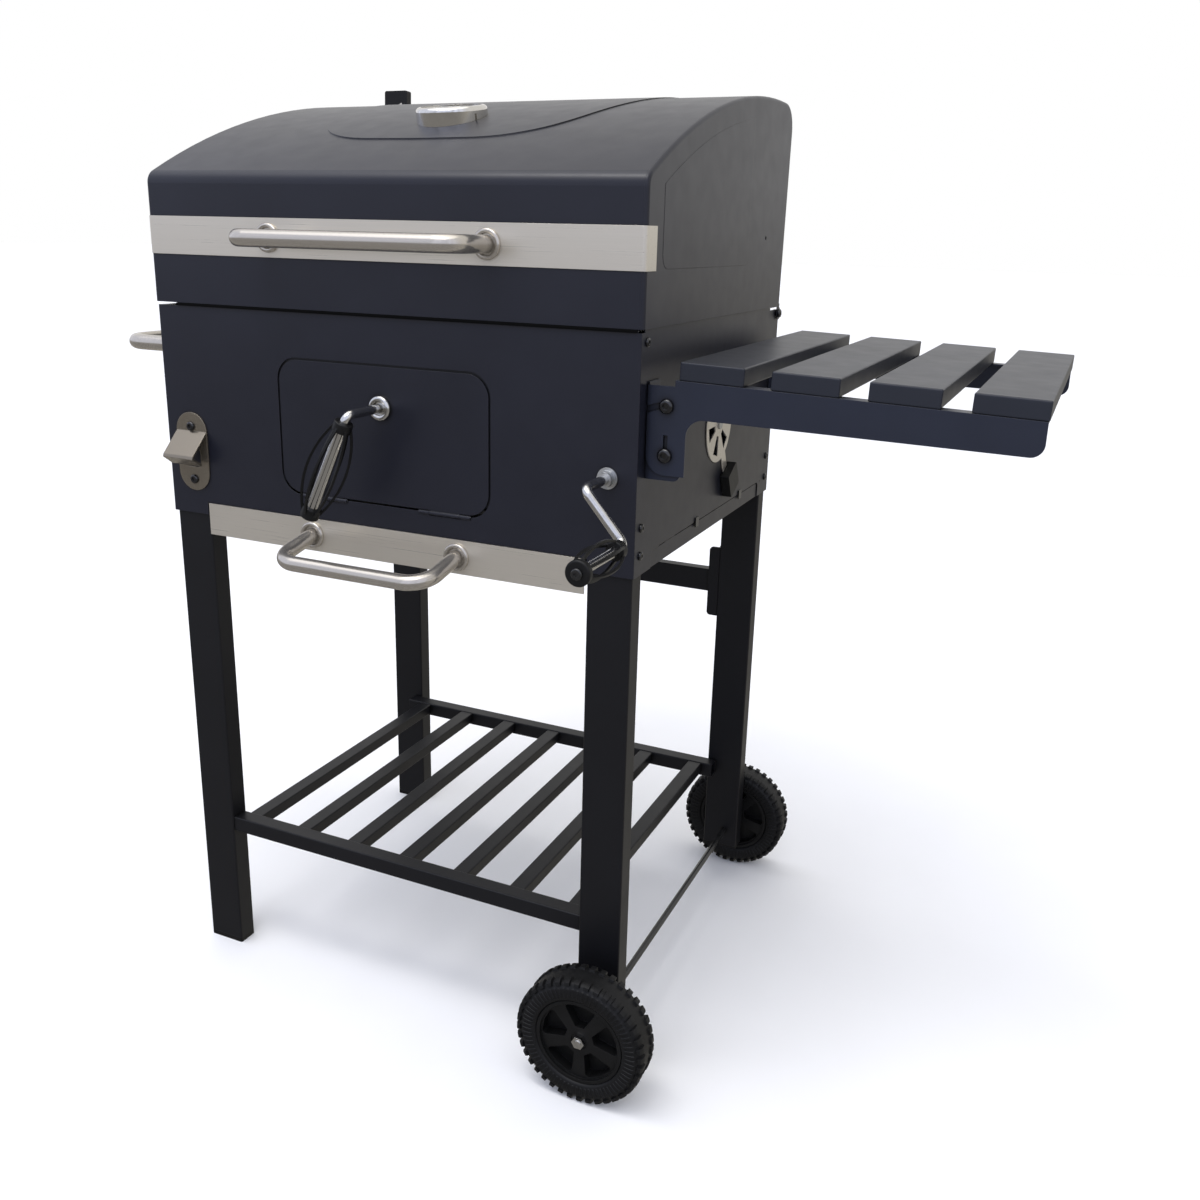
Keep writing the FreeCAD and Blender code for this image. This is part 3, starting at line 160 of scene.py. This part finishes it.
def powder_coat(name, colour, rough=0.34, edge=0.8 * MM, wave=0.25 * MM, shine=0.36):
    """Satin powder coat: orange peel, slow waves in the sheet, uneven sheen, painted shade that darkens
    seams and recesses, soft edges.
    """
    material, tree, shader = new_material(name)
    vector = object_coordinates(tree)
    cloud = noise(tree, vector, 9, 4)
    shade = ramp(tree, cloud, [(0.3, tinted(colour, 0.9)), (0.7, tinted(colour, 1.1))])
    # Painted shade: the base colour fades to near black in seams and recesses narrower than the reach
    crevice_shade = crevice_shade_factor(tree, CREVICE_SHADE_REACH, -0.5, 1)
    tree.links.new(mix_colours(tree, crevice_shade, CREVICE_SHADE_COLOUR, shade), shader.inputs["Base Color"])
    sheen = noise(tree, vector, 38, 5)
    tree.links.new(spread(tree, sheen, rough - 0.05, rough + 0.06), shader.inputs["Roughness"])
    normal = soft_edges(tree, edge)
    normal = bump(tree, noise(tree, vector, 5, 2), wave, 1.0, normal)
    normal = bump(tree, noise(tree, vector, 1100, 2), 0.03 * MM, 0.45, normal)
    tree.links.new(normal, shader.inputs["Normal"])
    set_inputs(shader, {"Specular IOR Level": shine, "IOR": 1.5})
    return material


def brushed_steel(name, colour, scale, rough=0.28, metal=0.7, edge=0.4 * MM):
    """Brushed metal: scale is small along the grain and large across it."""
    material, tree, shader = new_material(name)
    vector = object_coordinates(tree, scale)
    streaks = noise(tree, vector, 1, 6, 0.62)
    shade = ramp(tree, streaks, [(0.25, tinted(colour, 0.97)), (0.75, tinted(colour, 1.03))])
    tree.links.new(shade, shader.inputs["Base Color"])
    tree.links.new(spread(tree, streaks, rough - 0.03, rough + 0.04), shader.inputs["Roughness"])
    normal = soft_edges(tree, edge)
    normal = bump(tree, streaks, 0.01 * MM, 0.12, normal)
    smudge = noise(tree, object_coordinates(tree), 6, 3)
    normal = bump(tree, smudge, 0.3 * MM, 0.5, normal)
    tree.links.new(normal, shader.inputs["Normal"])
    shader.inputs["Metallic"].default_value = metal
    return material


def bright_metal(name, colour, rough, edge=0.3 * MM):
    """Plated or polished metal with faint handling marks."""
    material, tree, shader = new_material(name)
    vector = object_coordinates(tree)
    marks = noise(tree, vector, 60, 6, 0.6)
    shade = ramp(tree, marks, [(0.3, tinted(colour, 0.93)), (0.7, colour)])
    tree.links.new(shade, shader.inputs["Base Color"])
    tree.links.new(spread(tree, marks, rough * 0.7, rough * 1.4), shader.inputs["Roughness"])
    normal = bump(tree, noise(tree, vector, 240, 3), 0.02 * MM, 0.3, soft_edges(tree, edge))
    tree.links.new(normal, shader.inputs["Normal"])
    shader.inputs["Metallic"].default_value = 1
    return material


def moulded_plastic(name, colour, rough, grain=0.05 * MM, edge=0.7 * MM, shine=0.2):
    """Moulded plastic: fine spark-eroded grain and slightly glossier rubbed spots."""
    material, tree, shader = new_material(name)
    vector = object_coordinates(tree)
    rub = noise(tree, vector, 45, 4)
    shade = ramp(tree, rub, [(0.3, tinted(colour, 0.85)), (0.75, tinted(colour, 1.25))])
    tree.links.new(shade, shader.inputs["Base Color"])
    tree.links.new(spread(tree, rub, rough - 0.08, rough + 0.08), shader.inputs["Roughness"])
    normal = bump(tree, noise(tree, vector, 1500, 2), grain, 0.6, soft_edges(tree, edge))
    tree.links.new(normal, shader.inputs["Normal"])
    shader.inputs["Specular IOR Level"].default_value = shine
    return material


def end_mask(tree, axis, low, high):
    """1 below low and above high along the axis, 0 between them."""
    coordinates = tree.nodes.new("ShaderNodeTexCoord")
    parts = tree.nodes.new("ShaderNodeSeparateXYZ")
    tree.links.new(coordinates.outputs["Object"], parts.inputs["Vector"])
    sides = []
    for operation, limit in (("LESS_THAN", low), ("GREATER_THAN", high)):
        node = tree.nodes.new("ShaderNodeMath")
        node.operation = operation
        node.inputs[1].default_value = limit
        tree.links.new(parts.outputs[axis], node.inputs[0])
        sides.append(node.outputs[0])
    either = tree.nodes.new("ShaderNodeMath")
    either.operation = "MAXIMUM"
    tree.links.new(sides[0], either.inputs[0])
    tree.links.new(sides[1], either.inputs[1])
    return either.outputs[0]


def two_finishes(name, low, high, inside_metal):
    """Bright plating between two places along the depth, or beyond them; blackened steel elsewhere."""
    material, tree, shader = new_material(name)
    vector = object_coordinates(tree)
    plated = end_mask(tree, "Y", low, high)
    if inside_metal:
        plated = spread(tree, plated, 1, 0)
    marks = noise(tree, vector, 120, 5, 0.6)
    dark = ramp(tree, marks, [(0.3, (0.006, 0.006, 0.006)), (0.7, (0.014, 0.014, 0.014))])
    bright = ramp(tree, marks, [(0.3, (0.52, 0.51, 0.49)), (0.7, (0.66, 0.65, 0.63))])
    tree.links.new(mix_colours(tree, plated, dark, bright), shader.inputs["Base Color"])
    tree.links.new(plated, shader.inputs["Metallic"])
    tree.links.new(spread(tree, marks, 0.1, 0.28), shader.inputs["Roughness"])
    tree.links.new(soft_edges(tree, 0.3 * MM), shader.inputs["Normal"])
    return material


def zinc_plate(name):
    """Zinc-plated steel with a faint spangle."""
    material, tree, shader = new_material(name)
    vector = object_coordinates(tree)
    cells = tree.nodes.new("ShaderNodeTexVoronoi")
    cells.inputs["Scale"].default_value = 160
    tree.links.new(vector, cells.inputs["Vector"])
    shade = ramp(tree, cells.outputs["Color"], [(0.1, (0.42, 0.43, 0.44)), (0.9, (0.6, 0.6, 0.58))])
    tree.links.new(shade, shader.inputs["Base Color"])
    tree.links.new(spread(tree, noise(tree, vector, 70, 4), 0.3, 0.48), shader.inputs["Roughness"])
    tree.links.new(soft_edges(tree, 0.4 * MM), shader.inputs["Normal"])
    shader.inputs["Metallic"].default_value = 1
    return material


def clear_glass(name):
    """Clear glass with faint smears."""
    material, tree, shader = new_material(name)
    smear = noise(tree, object_coordinates(tree), 90, 4)
    tree.links.new(spread(tree, smear, 0.02, 0.08), shader.inputs["Roughness"])
    set_inputs(shader, {"Base Color": (0.95, 0.97, 0.97, 1), "Transmission Weight": 1.0, "IOR": 1.45})
    return material


NAVY = (0.0085, 0.0092, 0.0155)
BRACKET_BLUE = (0.0125, 0.0155, 0.0275)
BOARD_GREY = (0.0118, 0.0140, 0.0215)
BLACK_PAINT = (0.0048, 0.0049, 0.0064)
SCREW_BLACK = (0.003, 0.003, 0.004)
ENAMEL = (0.012, 0.012, 0.012)
PLASTIC_BLACK = (0.005, 0.005, 0.005)
RUBBER_BLACK = (0.005, 0.005, 0.0053)
# Near-black of the strip that paints the shadow in the gap under the lid
GAP_SHADOW_BLACK = (0.002, 0.002, 0.002)
DIAL_WHITE = (0.75, 0.75, 0.72)
INK_BLACK = (0.02, 0.02, 0.02)
STEEL = (0.58, 0.54, 0.465)
TUBE_STEEL = (0.50, 0.465, 0.41)
NICKEL = (0.22, 0.192, 0.15)
CHROME = (0.62, 0.61, 0.59)
RIM_STEEL = (0.66, 0.64, 0.6)

# Noise scales of a brushed grain that runs along one axis
ALONG_X = (5, 900, 900)
ALONG_Y = (900, 5, 900)
ALONG_Z = (900, 900, 5)

# One material for each of the record's slots
MATERIALS = {
    "body_paint": powder_coat("body_paint", NAVY),
    "frame_paint": powder_coat("frame_paint", BLACK_PAINT, 0.42, 1.2 * MM, 0.2 * MM, 0.28),
    "pan_enamel": powder_coat("pan_enamel", ENAMEL, 0.3),
    "zinc_steel": zinc_plate("zinc_steel"),
    "stainless": brushed_steel("stainless", STEEL, ALONG_X),
    "chrome": bright_metal("chrome", CHROME, 0.16),
    "black_plastic": moulded_plastic("black_plastic", PLASTIC_BLACK, 0.42, shine=0.22),
    "tyre": moulded_plastic("tyre", RUBBER_BLACK, 0.5, 0.1 * MM, 0.4 * MM, 0.22),
    "black_screw": powder_coat("black_screw", SCREW_BLACK, 0.16, 0.4 * MM, 0.0, 0.7),
    "painted_board": powder_coat("painted_board", BOARD_GREY, 0.4, 1.5 * MM),
    "dial": moulded_plastic("dial", DIAL_WHITE, 0.4, 0.02 * MM, 0.2 * MM, 0.4),
    "glass": clear_glass("glass"),
}

# The axle is plated outside the legs, and the crank behind its black end cap
LEG_FRONT_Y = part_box("leg_front_right")[0].y
LEG_REAR_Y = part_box("leg_rear_right")[1].y
CRANK_LOW, CRANK_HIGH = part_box("crank_shaft")
CRANK_END_CAP = 2.8 * MM

# Finishes that only some nodes have, instead of their slot's
SPECIAL_MATERIALS = {
    "axle_steel": two_finishes("axle_steel", LEG_FRONT_Y, LEG_REAR_Y, False),
    "crank_steel": two_finishes("crank_steel", CRANK_LOW.y + CRANK_END_CAP, CRANK_HIGH.y + 1, True),
    "tube_across": brushed_steel("tube_across", TUBE_STEEL, ALONG_X, 0.22, 0.85),
    "tube_deep": brushed_steel("tube_deep", TUBE_STEEL, ALONG_Y, 0.22, 0.85),
    "bracket_paint": powder_coat("bracket_paint", BRACKET_BLUE),
    "brushed_nickel": brushed_steel("brushed_nickel", NICKEL, ALONG_Z, 0.25, 0.78, 1.2 * MM),
    "stainless_upright": brushed_steel("stainless_upright", STEEL, ALONG_Z),
    "polished_rim": bright_metal("polished_rim", RIM_STEEL, 0.13),
}
NODE_MATERIALS = {
    "bottle_opener": "brushed_nickel",
    "right_damper": "stainless_upright",
    "left_damper": "stainless_upright",
    "lid_vent_disc": "stainless_upright",
    "side_handle": "tube_deep",
    "shelf_bracket_front": "bracket_paint",
    "shelf_bracket_rear": "bracket_paint",
    "shelf_hangers": "bracket_paint",
    "lid_handle": "tube_across",
    "drawer_handle": "tube_across",
    "crank_shaft": "crank_steel",
    "thermometer_case": "polished_rim",
    "axle": "axle_steel",
}


def paint_nodes():
    for entry in frame["record"]["subparts"]:
        node = NODES[entry["node"]]
        slot = entry["material_slot"]
        special = NODE_MATERIALS.get(entry["node"])
        material = SPECIAL_MATERIALS[special] if special else MATERIALS[slot]
        node.data.materials.clear()
        node.data.materials.append(material)


paint_nodes()


# ---------------------------------------------------------------- detail pieces

def mesh_object(name, vertices, faces, material):
    """A new object whose faces all look outwards."""
    mesh = bpy.data.meshes.new(name)
    mesh.from_pydata([tuple(v) for v in vertices], [], faces)
    bm = bmesh.new()
    bm.from_mesh(mesh)
    bmesh.ops.recalc_face_normals(bm, faces=bm.faces)
    bm.to_mesh(mesh)
    bm.free()
    mesh.materials.append(material)
    piece = bpy.data.objects.new(name, mesh)
    bpy.context.scene.collection.objects.link(piece)
    return piece


def prism(name, first_end, second_end, material):
    """A solid bar between two outlines with the same number of points."""
    count = len(first_end)
    faces = [(k, (k + 1) % count, (k + 1) % count + count, k + count) for k in range(count)]
    faces.append(tuple(reversed(range(count))))
    faces.append(tuple(range(count, 2 * count)))
    return mesh_object(name, first_end + second_end, faces, material)


# Tyre section from the hub's edge to the middle of the tread, in mm: radius and distance from the
# wheel's middle plane, where it is plain and where a rib or a tread block stands.
TYRE_SECTION = [
    ((51.0, 15.5), None), ((52.3, 18.4), None), ((53.6, 19.4), None), ((55.4, 19.7), None),
    ((55.9, 19.8), "rib"), ((58.5, 20.1), "rib"), ((62.0, 20.3), "rib"),
    ((65.5, 20.0), "rib"), ((67.4, 19.5), "rib"),
    ((67.9, 19.2), None), ((69.6, 18.3), None), ((70.3, 17.8), None),
    ((70.7, 17.6), "block"), ((72.4, 16.2), "block"), ((73.6, 13.4), "block"),
    ((74.1, 10.5), "block"), ((74.2, 8.6), "block"),
    ((74.2, 8.1), None), ((74.4, 4.5), None), ((74.5, 0.0), None),
]
BLOCK_TOPS = [(71.0, 19.9), (74.4, 19.0), (76.1, 15.6), (76.45, 11.5), (76.45, 9.0)]
RIB_RISE = 0.65
STEPS_ROUND = 720
RIB_COUNT = 72
RIB_STEPS = 4
BLOCK_COUNT = 40
BLOCK_STEPS = 10
BLOCK_STAGGER = 9


def tyre_ring(turn_step, side):
    """The section's points at one of the steps round the wheel, hub to tread, on one side."""
    rib_phase = turn_step % (STEPS_ROUND // RIB_COUNT)
    stagger = BLOCK_STAGGER if side > 0 else 0
    block_phase = (turn_step + stagger) % (STEPS_ROUND // BLOCK_COUNT)
    points = []
    tops = iter(BLOCK_TOPS)
    for (radius, across), kind in TYRE_SECTION:
        if kind == "rib" and rib_phase < RIB_STEPS:
            across += RIB_RISE
        if kind == "block":
            top = next(tops)
            if block_phase < BLOCK_STEPS:
                radius, across = top
        points.append((radius * MM, side * across * MM))
    return points


def add_tyre(name, node, body):
    """Moulded tyre: ribbed side walls, a smooth middle band, a row of blocks on each shoulder."""
    low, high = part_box(node)
    centre = (low + high) / 2
    vertices, faces = [], []
    for step in range(STEPS_ROUND):
        ring = tyre_ring(step, -1) + list(reversed(tyre_ring(step, 1)[:-1]))
        angle = 2 * math.pi * step / STEPS_ROUND
        for radius, across in ring:
            x = centre.x + radius * math.cos(angle)
            z = centre.z + radius * math.sin(angle)
            vertices.append((x, centre.y + across, z))
    count = len(vertices) // STEPS_ROUND
    for step in range(STEPS_ROUND):
        here, there = step * count, (step + 1) % STEPS_ROUND * count
        for k in range(count):
            after = (k + 1) % count
            faces.append((here + k, here + after, there + after, there + k))
    tyre = mesh_object(name, vertices, faces, MATERIALS["tyre"])
    tyre.data.shade_smooth()
    tyre.data.set_sharp_from_angle(angle=math.radians(38))
    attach(tyre, body)
    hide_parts(node)


add_tyre("front_tyre", "front_wheel_tyre", "front_wheel")
add_tyre("rear_tyre", "rear_wheel_tyre", "rear_wheel")


# Painted shadow on the front upstand, a black strip for the shade in the gap under the lid: heights are
# measured down from the upstand's top edge
GAP_SHADOW_BOTTOM = 5.8 * MM
GAP_SHADOW_TOP = 2.75 * MM
GAP_SHADOW_SINK = 0.1 * MM
GAP_SHADOW_BULGE = 0.35 * MM
GAP_SHADOW_LEFT = 28.5 * MM
GAP_SHADOW_RIGHT = 4.5 * MM
GAP_SHADOW_STEPS = 6


def add_lid_gap_shadow():
    """Thin black strip with a rounded face, a painted shadow in the gap under the lid's lower edge."""
    low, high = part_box("firebox_front_panel")
    bottom, top = high.z - GAP_SHADOW_BOTTOM, high.z - GAP_SHADOW_TOP
    middle, reach = (bottom + top) / 2, (top - bottom) / 2
    outline = [(low.y + GAP_SHADOW_SINK, bottom), (low.y + GAP_SHADOW_SINK, top)]
    for step in range(GAP_SHADOW_STEPS + 1):
        angle = math.pi * step / GAP_SHADOW_STEPS
        y = low.y - GAP_SHADOW_BULGE * math.sin(angle)
        outline.append((y, middle + reach * math.cos(angle)))
    ends = [[(x, y, z) for y, z in outline] for x in (low.x + GAP_SHADOW_LEFT, high.x - GAP_SHADOW_RIGHT)]
    # Matt near-black finish that paints the gap's shadow
    gap_shadow_paint = moulded_plastic("gap_shadow", GAP_SHADOW_BLACK, 0.7, 0.05 * MM, 0.2 * MM, 0.05)
    gap_shadow = prism("lid_gap_shadow", *ends, gap_shadow_paint)
    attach(gap_shadow, "cart")


# Dark sheets behind the coal door's lower corners, painted shade in the gap: the frame's corner radius,
# how far they lap the frame, how far they hang below it, and their distance from the door's back
CORNER_RADIUS = 30 * MM
CORNER_LAP = 0.4 * MM
CORNER_DROP = 4 * MM
CORNER_CLEARANCE = 0.5 * MM
CORNER_STEPS = 12


def add_door_corner_shade(name, side):
    """Dark sheet outside one rounded corner of the door frame, painted shade seen through the gap; side
    is 1 on the left, -1 on the right.
    """
    low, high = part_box("coal_door_frame")
    corner = low.x if side > 0 else high.x
    bottom = low.z - CORNER_DROP
    outline = [(corner, bottom), (corner + side * (CORNER_RADIUS + CORNER_LAP), bottom)]
    for step in range(CORNER_STEPS + 1):
        angle = math.pi / 2 * step / CORNER_STEPS
        across = CORNER_RADIUS * (1 - math.sin(angle)) + CORNER_LAP
        rise = CORNER_RADIUS * (1 - math.cos(angle)) + CORNER_LAP
        outline.append((corner + side * across, low.z + rise))
    ends = [[(x, y, z) for x, z in outline] for y in (low.y + CORNER_CLEARANCE, high.y)]
    # Dark enamel sheet standing in for the shade seen through the door gap
    corner_shade_sheet = prism(name, *ends, MATERIALS["pan_enamel"])
    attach(corner_shade_sheet, "cart")


add_lid_gap_shadow()
add_door_corner_shade("door_corner_shade_left", 1)
add_door_corner_shade("door_corner_shade_right", -1)


# Thermometer face: tick marks and numbers on the dial, under the glass. Angles run clockwise from
# DIAL_START; a long mark and a number stand at every fifth step.
DIAL_TILT = math.radians(9.3)
DIAL_START = 225
DIAL_SWEEP = 270
DIAL_STEPS = 30
LONG_STEP = 5
DIAL_DROP = 2.75 * MM
TICK_OUTSIDE = 31
LONG_TICK = (4.5, 0.9)
SHORT_TICK = (2.6, 0.45)
TICK_RISE = 0.12
NUMBER_RADIUS = 22.5 * MM
NUMBER_SIZE = 5.2 * MM
NUMBER_RISE = 0.05 * MM
INK = moulded_plastic("ink", INK_BLACK, 0.5, 0.01 * MM, 0.05 * MM)


def dial_frame():
    """The place and tilt of the dial's centre."""
    low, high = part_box("thermometer_glass")
    tilt = Matrix.Rotation(DIAL_TILT, 4, "X")
    return Matrix.Translation((low + high) / 2) @ tilt @ Matrix.Translation((0, 0, -DIAL_DROP))


def dial_angle(step):
    return math.radians(DIAL_START - DIAL_SWEEP * step / DIAL_STEPS)


def upright(edge):
    return abs(edge.verts[0].co.z - edge.verts[1].co.z) > TICK_RISE / 2 * MM


def add_ticks():
    """Raised ink marks with rounded corners, in one piece."""
    bm = bmesh.new()
    for step in range(DIAL_STEPS + 1):
        length, width = LONG_TICK if step % LONG_STEP == 0 else SHORT_TICK
        out = Matrix.Translation(((TICK_OUTSIDE - length / 2) * MM, 0, 0))
        place = Matrix.Rotation(dial_angle(step), 4, "Z") @ out
        size = Matrix.Diagonal((length * MM, width * MM, TICK_RISE * MM, 1))
        mark = bmesh.ops.create_cube(bm, size=1.0, matrix=place @ size)
        edges = [edge for vertex in mark["verts"] for edge in vertex.link_edges if upright(edge)]
        corners = list(set(edges))
        bmesh.ops.bevel(bm, geom=corners, offset=width * 0.2 * MM, segments=2, affect="EDGES")
    mesh = bpy.data.meshes.new("dial_marks")
    bm.to_mesh(mesh)
    bm.free()
    marks = bpy.data.objects.new("dial_marks", mesh)
    bpy.context.scene.collection.objects.link(marks)
    mesh.materials.append(INK)
    marks.matrix_world = dial_frame()
    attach(marks, "lid")


def add_numbers():
    """Round numbers from 50 to 350, inside the long marks."""
    for step in range(0, DIAL_STEPS + 1, LONG_STEP):
        turn = dial_angle(step)
        text = bpy.data.curves.new("dial_number", "FONT")
        text.body = str(step * 10 + 50)
        text.size = NUMBER_SIZE
        text.extrude = NUMBER_RISE
        text.align_x = "CENTER"
        text.align_y = "CENTER"
        text.materials.append(INK)
        piece = bpy.data.objects.new(f"dial_number_{step}", text)
        bpy.context.scene.collection.objects.link(piece)
        out = Vector((math.cos(turn), math.sin(turn), 0)) * NUMBER_RADIUS
        piece.matrix_world = dial_frame() @ Matrix.Translation(out)
        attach(piece, "lid")


add_ticks()
add_numbers()


# ---------------------------------------------------------------- studio and camera

FLOOR_REACH = 40


def add_floor():
    """A plain pale floor; the object's reflections leave it out."""
    material, tree, shader = new_material("floor")
    vector = object_coordinates(tree)
    shade = ramp(tree, noise(tree, vector, 3, 3), [(0.3, (0.86, 0.86, 0.86)), (0.7, (0.89, 0.89, 0.89))])
    tree.links.new(shade, shader.inputs["Base Color"])
    set_inputs(shader, {"Roughness": 0.8, "Specular IOR Level": 0.1})
    corners = [(x * FLOOR_REACH, y * FLOOR_REACH, 0) for x, y in ((-1, -1), (1, -1), (1, 1), (-1, 1))]
    floor = mesh_object("floor", corners, [(0, 1, 2, 3)], material)
    floor.visible_glossy = False


def add_light(data, place, direction):
    light = bpy.data.objects.new(data.name, data)
    light.location = place
    light.rotation_euler = Vector(direction).to_track_quat("-Z", "Y").to_euler()
    bpy.context.scene.collection.objects.link(light)


def smooth_step(tree, value, low, high):
    """0 below low, 1 above high, smooth between them."""
    node = tree.nodes.new("ShaderNodeMapRange")
    node.interpolation_type = "SMOOTHSTEP"
    set_inputs(node, {"From Min": low, "From Max": high})
    tree.links.new(value, node.inputs["Value"])
    return node.outputs["Result"]


UNLIT_BOARD = (0.72, 0.77, 0.92)
LIT_BOARD = (1.1, 1.17, 1.45)
BACK_WALL = (0.90, 0.89, 0.88)
BELOW_BACK = (0.26, 0.25, 0.24)
BELOW_FRONT = (0.46, 0.44, 0.40)
BACKDROP = (1.0, 1.0, 1.0)
TOWARDS_BACK = (0.35, 0.94, 0)


def add_world():
    """White backdrop; the object is lit as in a room: bright behind, lit boards in front, dim below."""
    world = bpy.data.worlds.new("studio")
    world.use_nodes = True
    tree = world.node_tree
    background = tree.nodes["Background"]
    direction = tree.nodes.new("ShaderNodeTexCoord").outputs["Generated"]
    parts = tree.nodes.new("ShaderNodeSeparateXYZ")
    tree.links.new(direction, parts.inputs["Vector"])
    towards_back = tree.nodes.new("ShaderNodeVectorMath")
    towards_back.operation = "DOT_PRODUCT"
    towards_back.inputs[1].default_value = TOWARDS_BACK
    tree.links.new(direction, towards_back.inputs[0])
    back = smooth_step(tree, towards_back.outputs["Value"], -0.5, 0.5)
    around = tree.nodes.new("ShaderNodeMath")
    around.operation = "ARCTAN2"
    tree.links.new(parts.outputs["X"], around.inputs[0])
    tree.links.new(parts.outputs["Y"], around.inputs[1])
    boards = tree.nodes.new("ShaderNodeTexNoise")
    boards.noise_dimensions = "1D"
    set_inputs(boards, {"Scale": 3.2, "Detail": 1.0})
    tree.links.new(around.outputs[0], boards.inputs["W"])
    lit = smooth_step(tree, boards.outputs["Fac"], 0.38, 0.6)
    front = mix_colours(tree, lit, UNLIT_BOARD, LIT_BOARD)
    above = mix_colours(tree, back, front, BACK_WALL)
    below = mix_colours(tree, back, BELOW_BACK, BELOW_FRONT)
    high = smooth_step(tree, parts.outputs["Z"], -0.07, 0.05)
    room = mix_colours(tree, high, below, above)
    seen = tree.nodes.new("ShaderNodeLightPath").outputs["Is Camera Ray"]
    tree.links.new(mix_colours(tree, seen, room, BACKDROP), background.inputs["Color"])
    bpy.context.scene.world = world


WARM_WHITE = (1.0, 0.98, 0.95)
OVERHEAD_PLACE = Vector((-0.3, -0.9, 2.9))
OVERHEAD_TARGET = Vector((0, 0, 0.6))


def add_overhead():
    """A wide soft light above the front."""
    data = bpy.data.lights.new("overhead", "AREA")
    data.shape = "RECTANGLE"
    data.size, data.size_y = 1.6, 0.5
    data.energy = 20
    data.color = WARM_WHITE
    add_light(data, OVERHEAD_PLACE, OVERHEAD_TARGET - OVERHEAD_PLACE)


def add_ceiling():
    """Very soft light from the whole ceiling."""
    data = bpy.data.lights.new("ceiling", "SUN")
    data.energy = 1.15
    data.angle = math.radians(70)
    data.color = WARM_WHITE
    add_light(data, (0, 0, 0), (0.15, 0.2, -1.0))


# Camera: place in metres, then yaw, pitch and roll in degrees, lens in mm and shift
CAMERA_PLACE = (0.56077, -1.19081, 0.92437)
CAMERA_ANGLES = (24.116, 16.335, 1.382)
CAMERA_LENS = 33.843
CAMERA_SHIFT = (0.00863, -0.02973)


def add_camera():
    yaw, pitch, roll = (math.radians(angle) for angle in CAMERA_ANGLES)
    level = math.cos(pitch)
    forward = Vector((-math.sin(yaw) * level, math.cos(yaw) * level, -math.sin(pitch)))
    right = Vector((math.cos(yaw), math.sin(yaw), 0))
    up = right.cross(forward)
    turned_right = math.cos(roll) * right + math.sin(roll) * up
    turned_up = -math.sin(roll) * right + math.cos(roll) * up
    data = bpy.data.cameras.new("camera")
    data.sensor_width = 36
    data.lens = CAMERA_LENS
    data.shift_x, data.shift_y = CAMERA_SHIFT
    camera = bpy.data.objects.new("camera", data)
    axes = Matrix((turned_right, turned_up, -forward)).transposed().to_4x4()
    camera.matrix_world = Matrix.Translation(CAMERA_PLACE) @ axes
    bpy.context.scene.collection.objects.link(camera)
    bpy.context.scene.camera = camera


add_floor()
add_world()
add_overhead()
add_ceiling()
add_camera()
bpy.context.scene.view_settings.view_transform = "Standard"
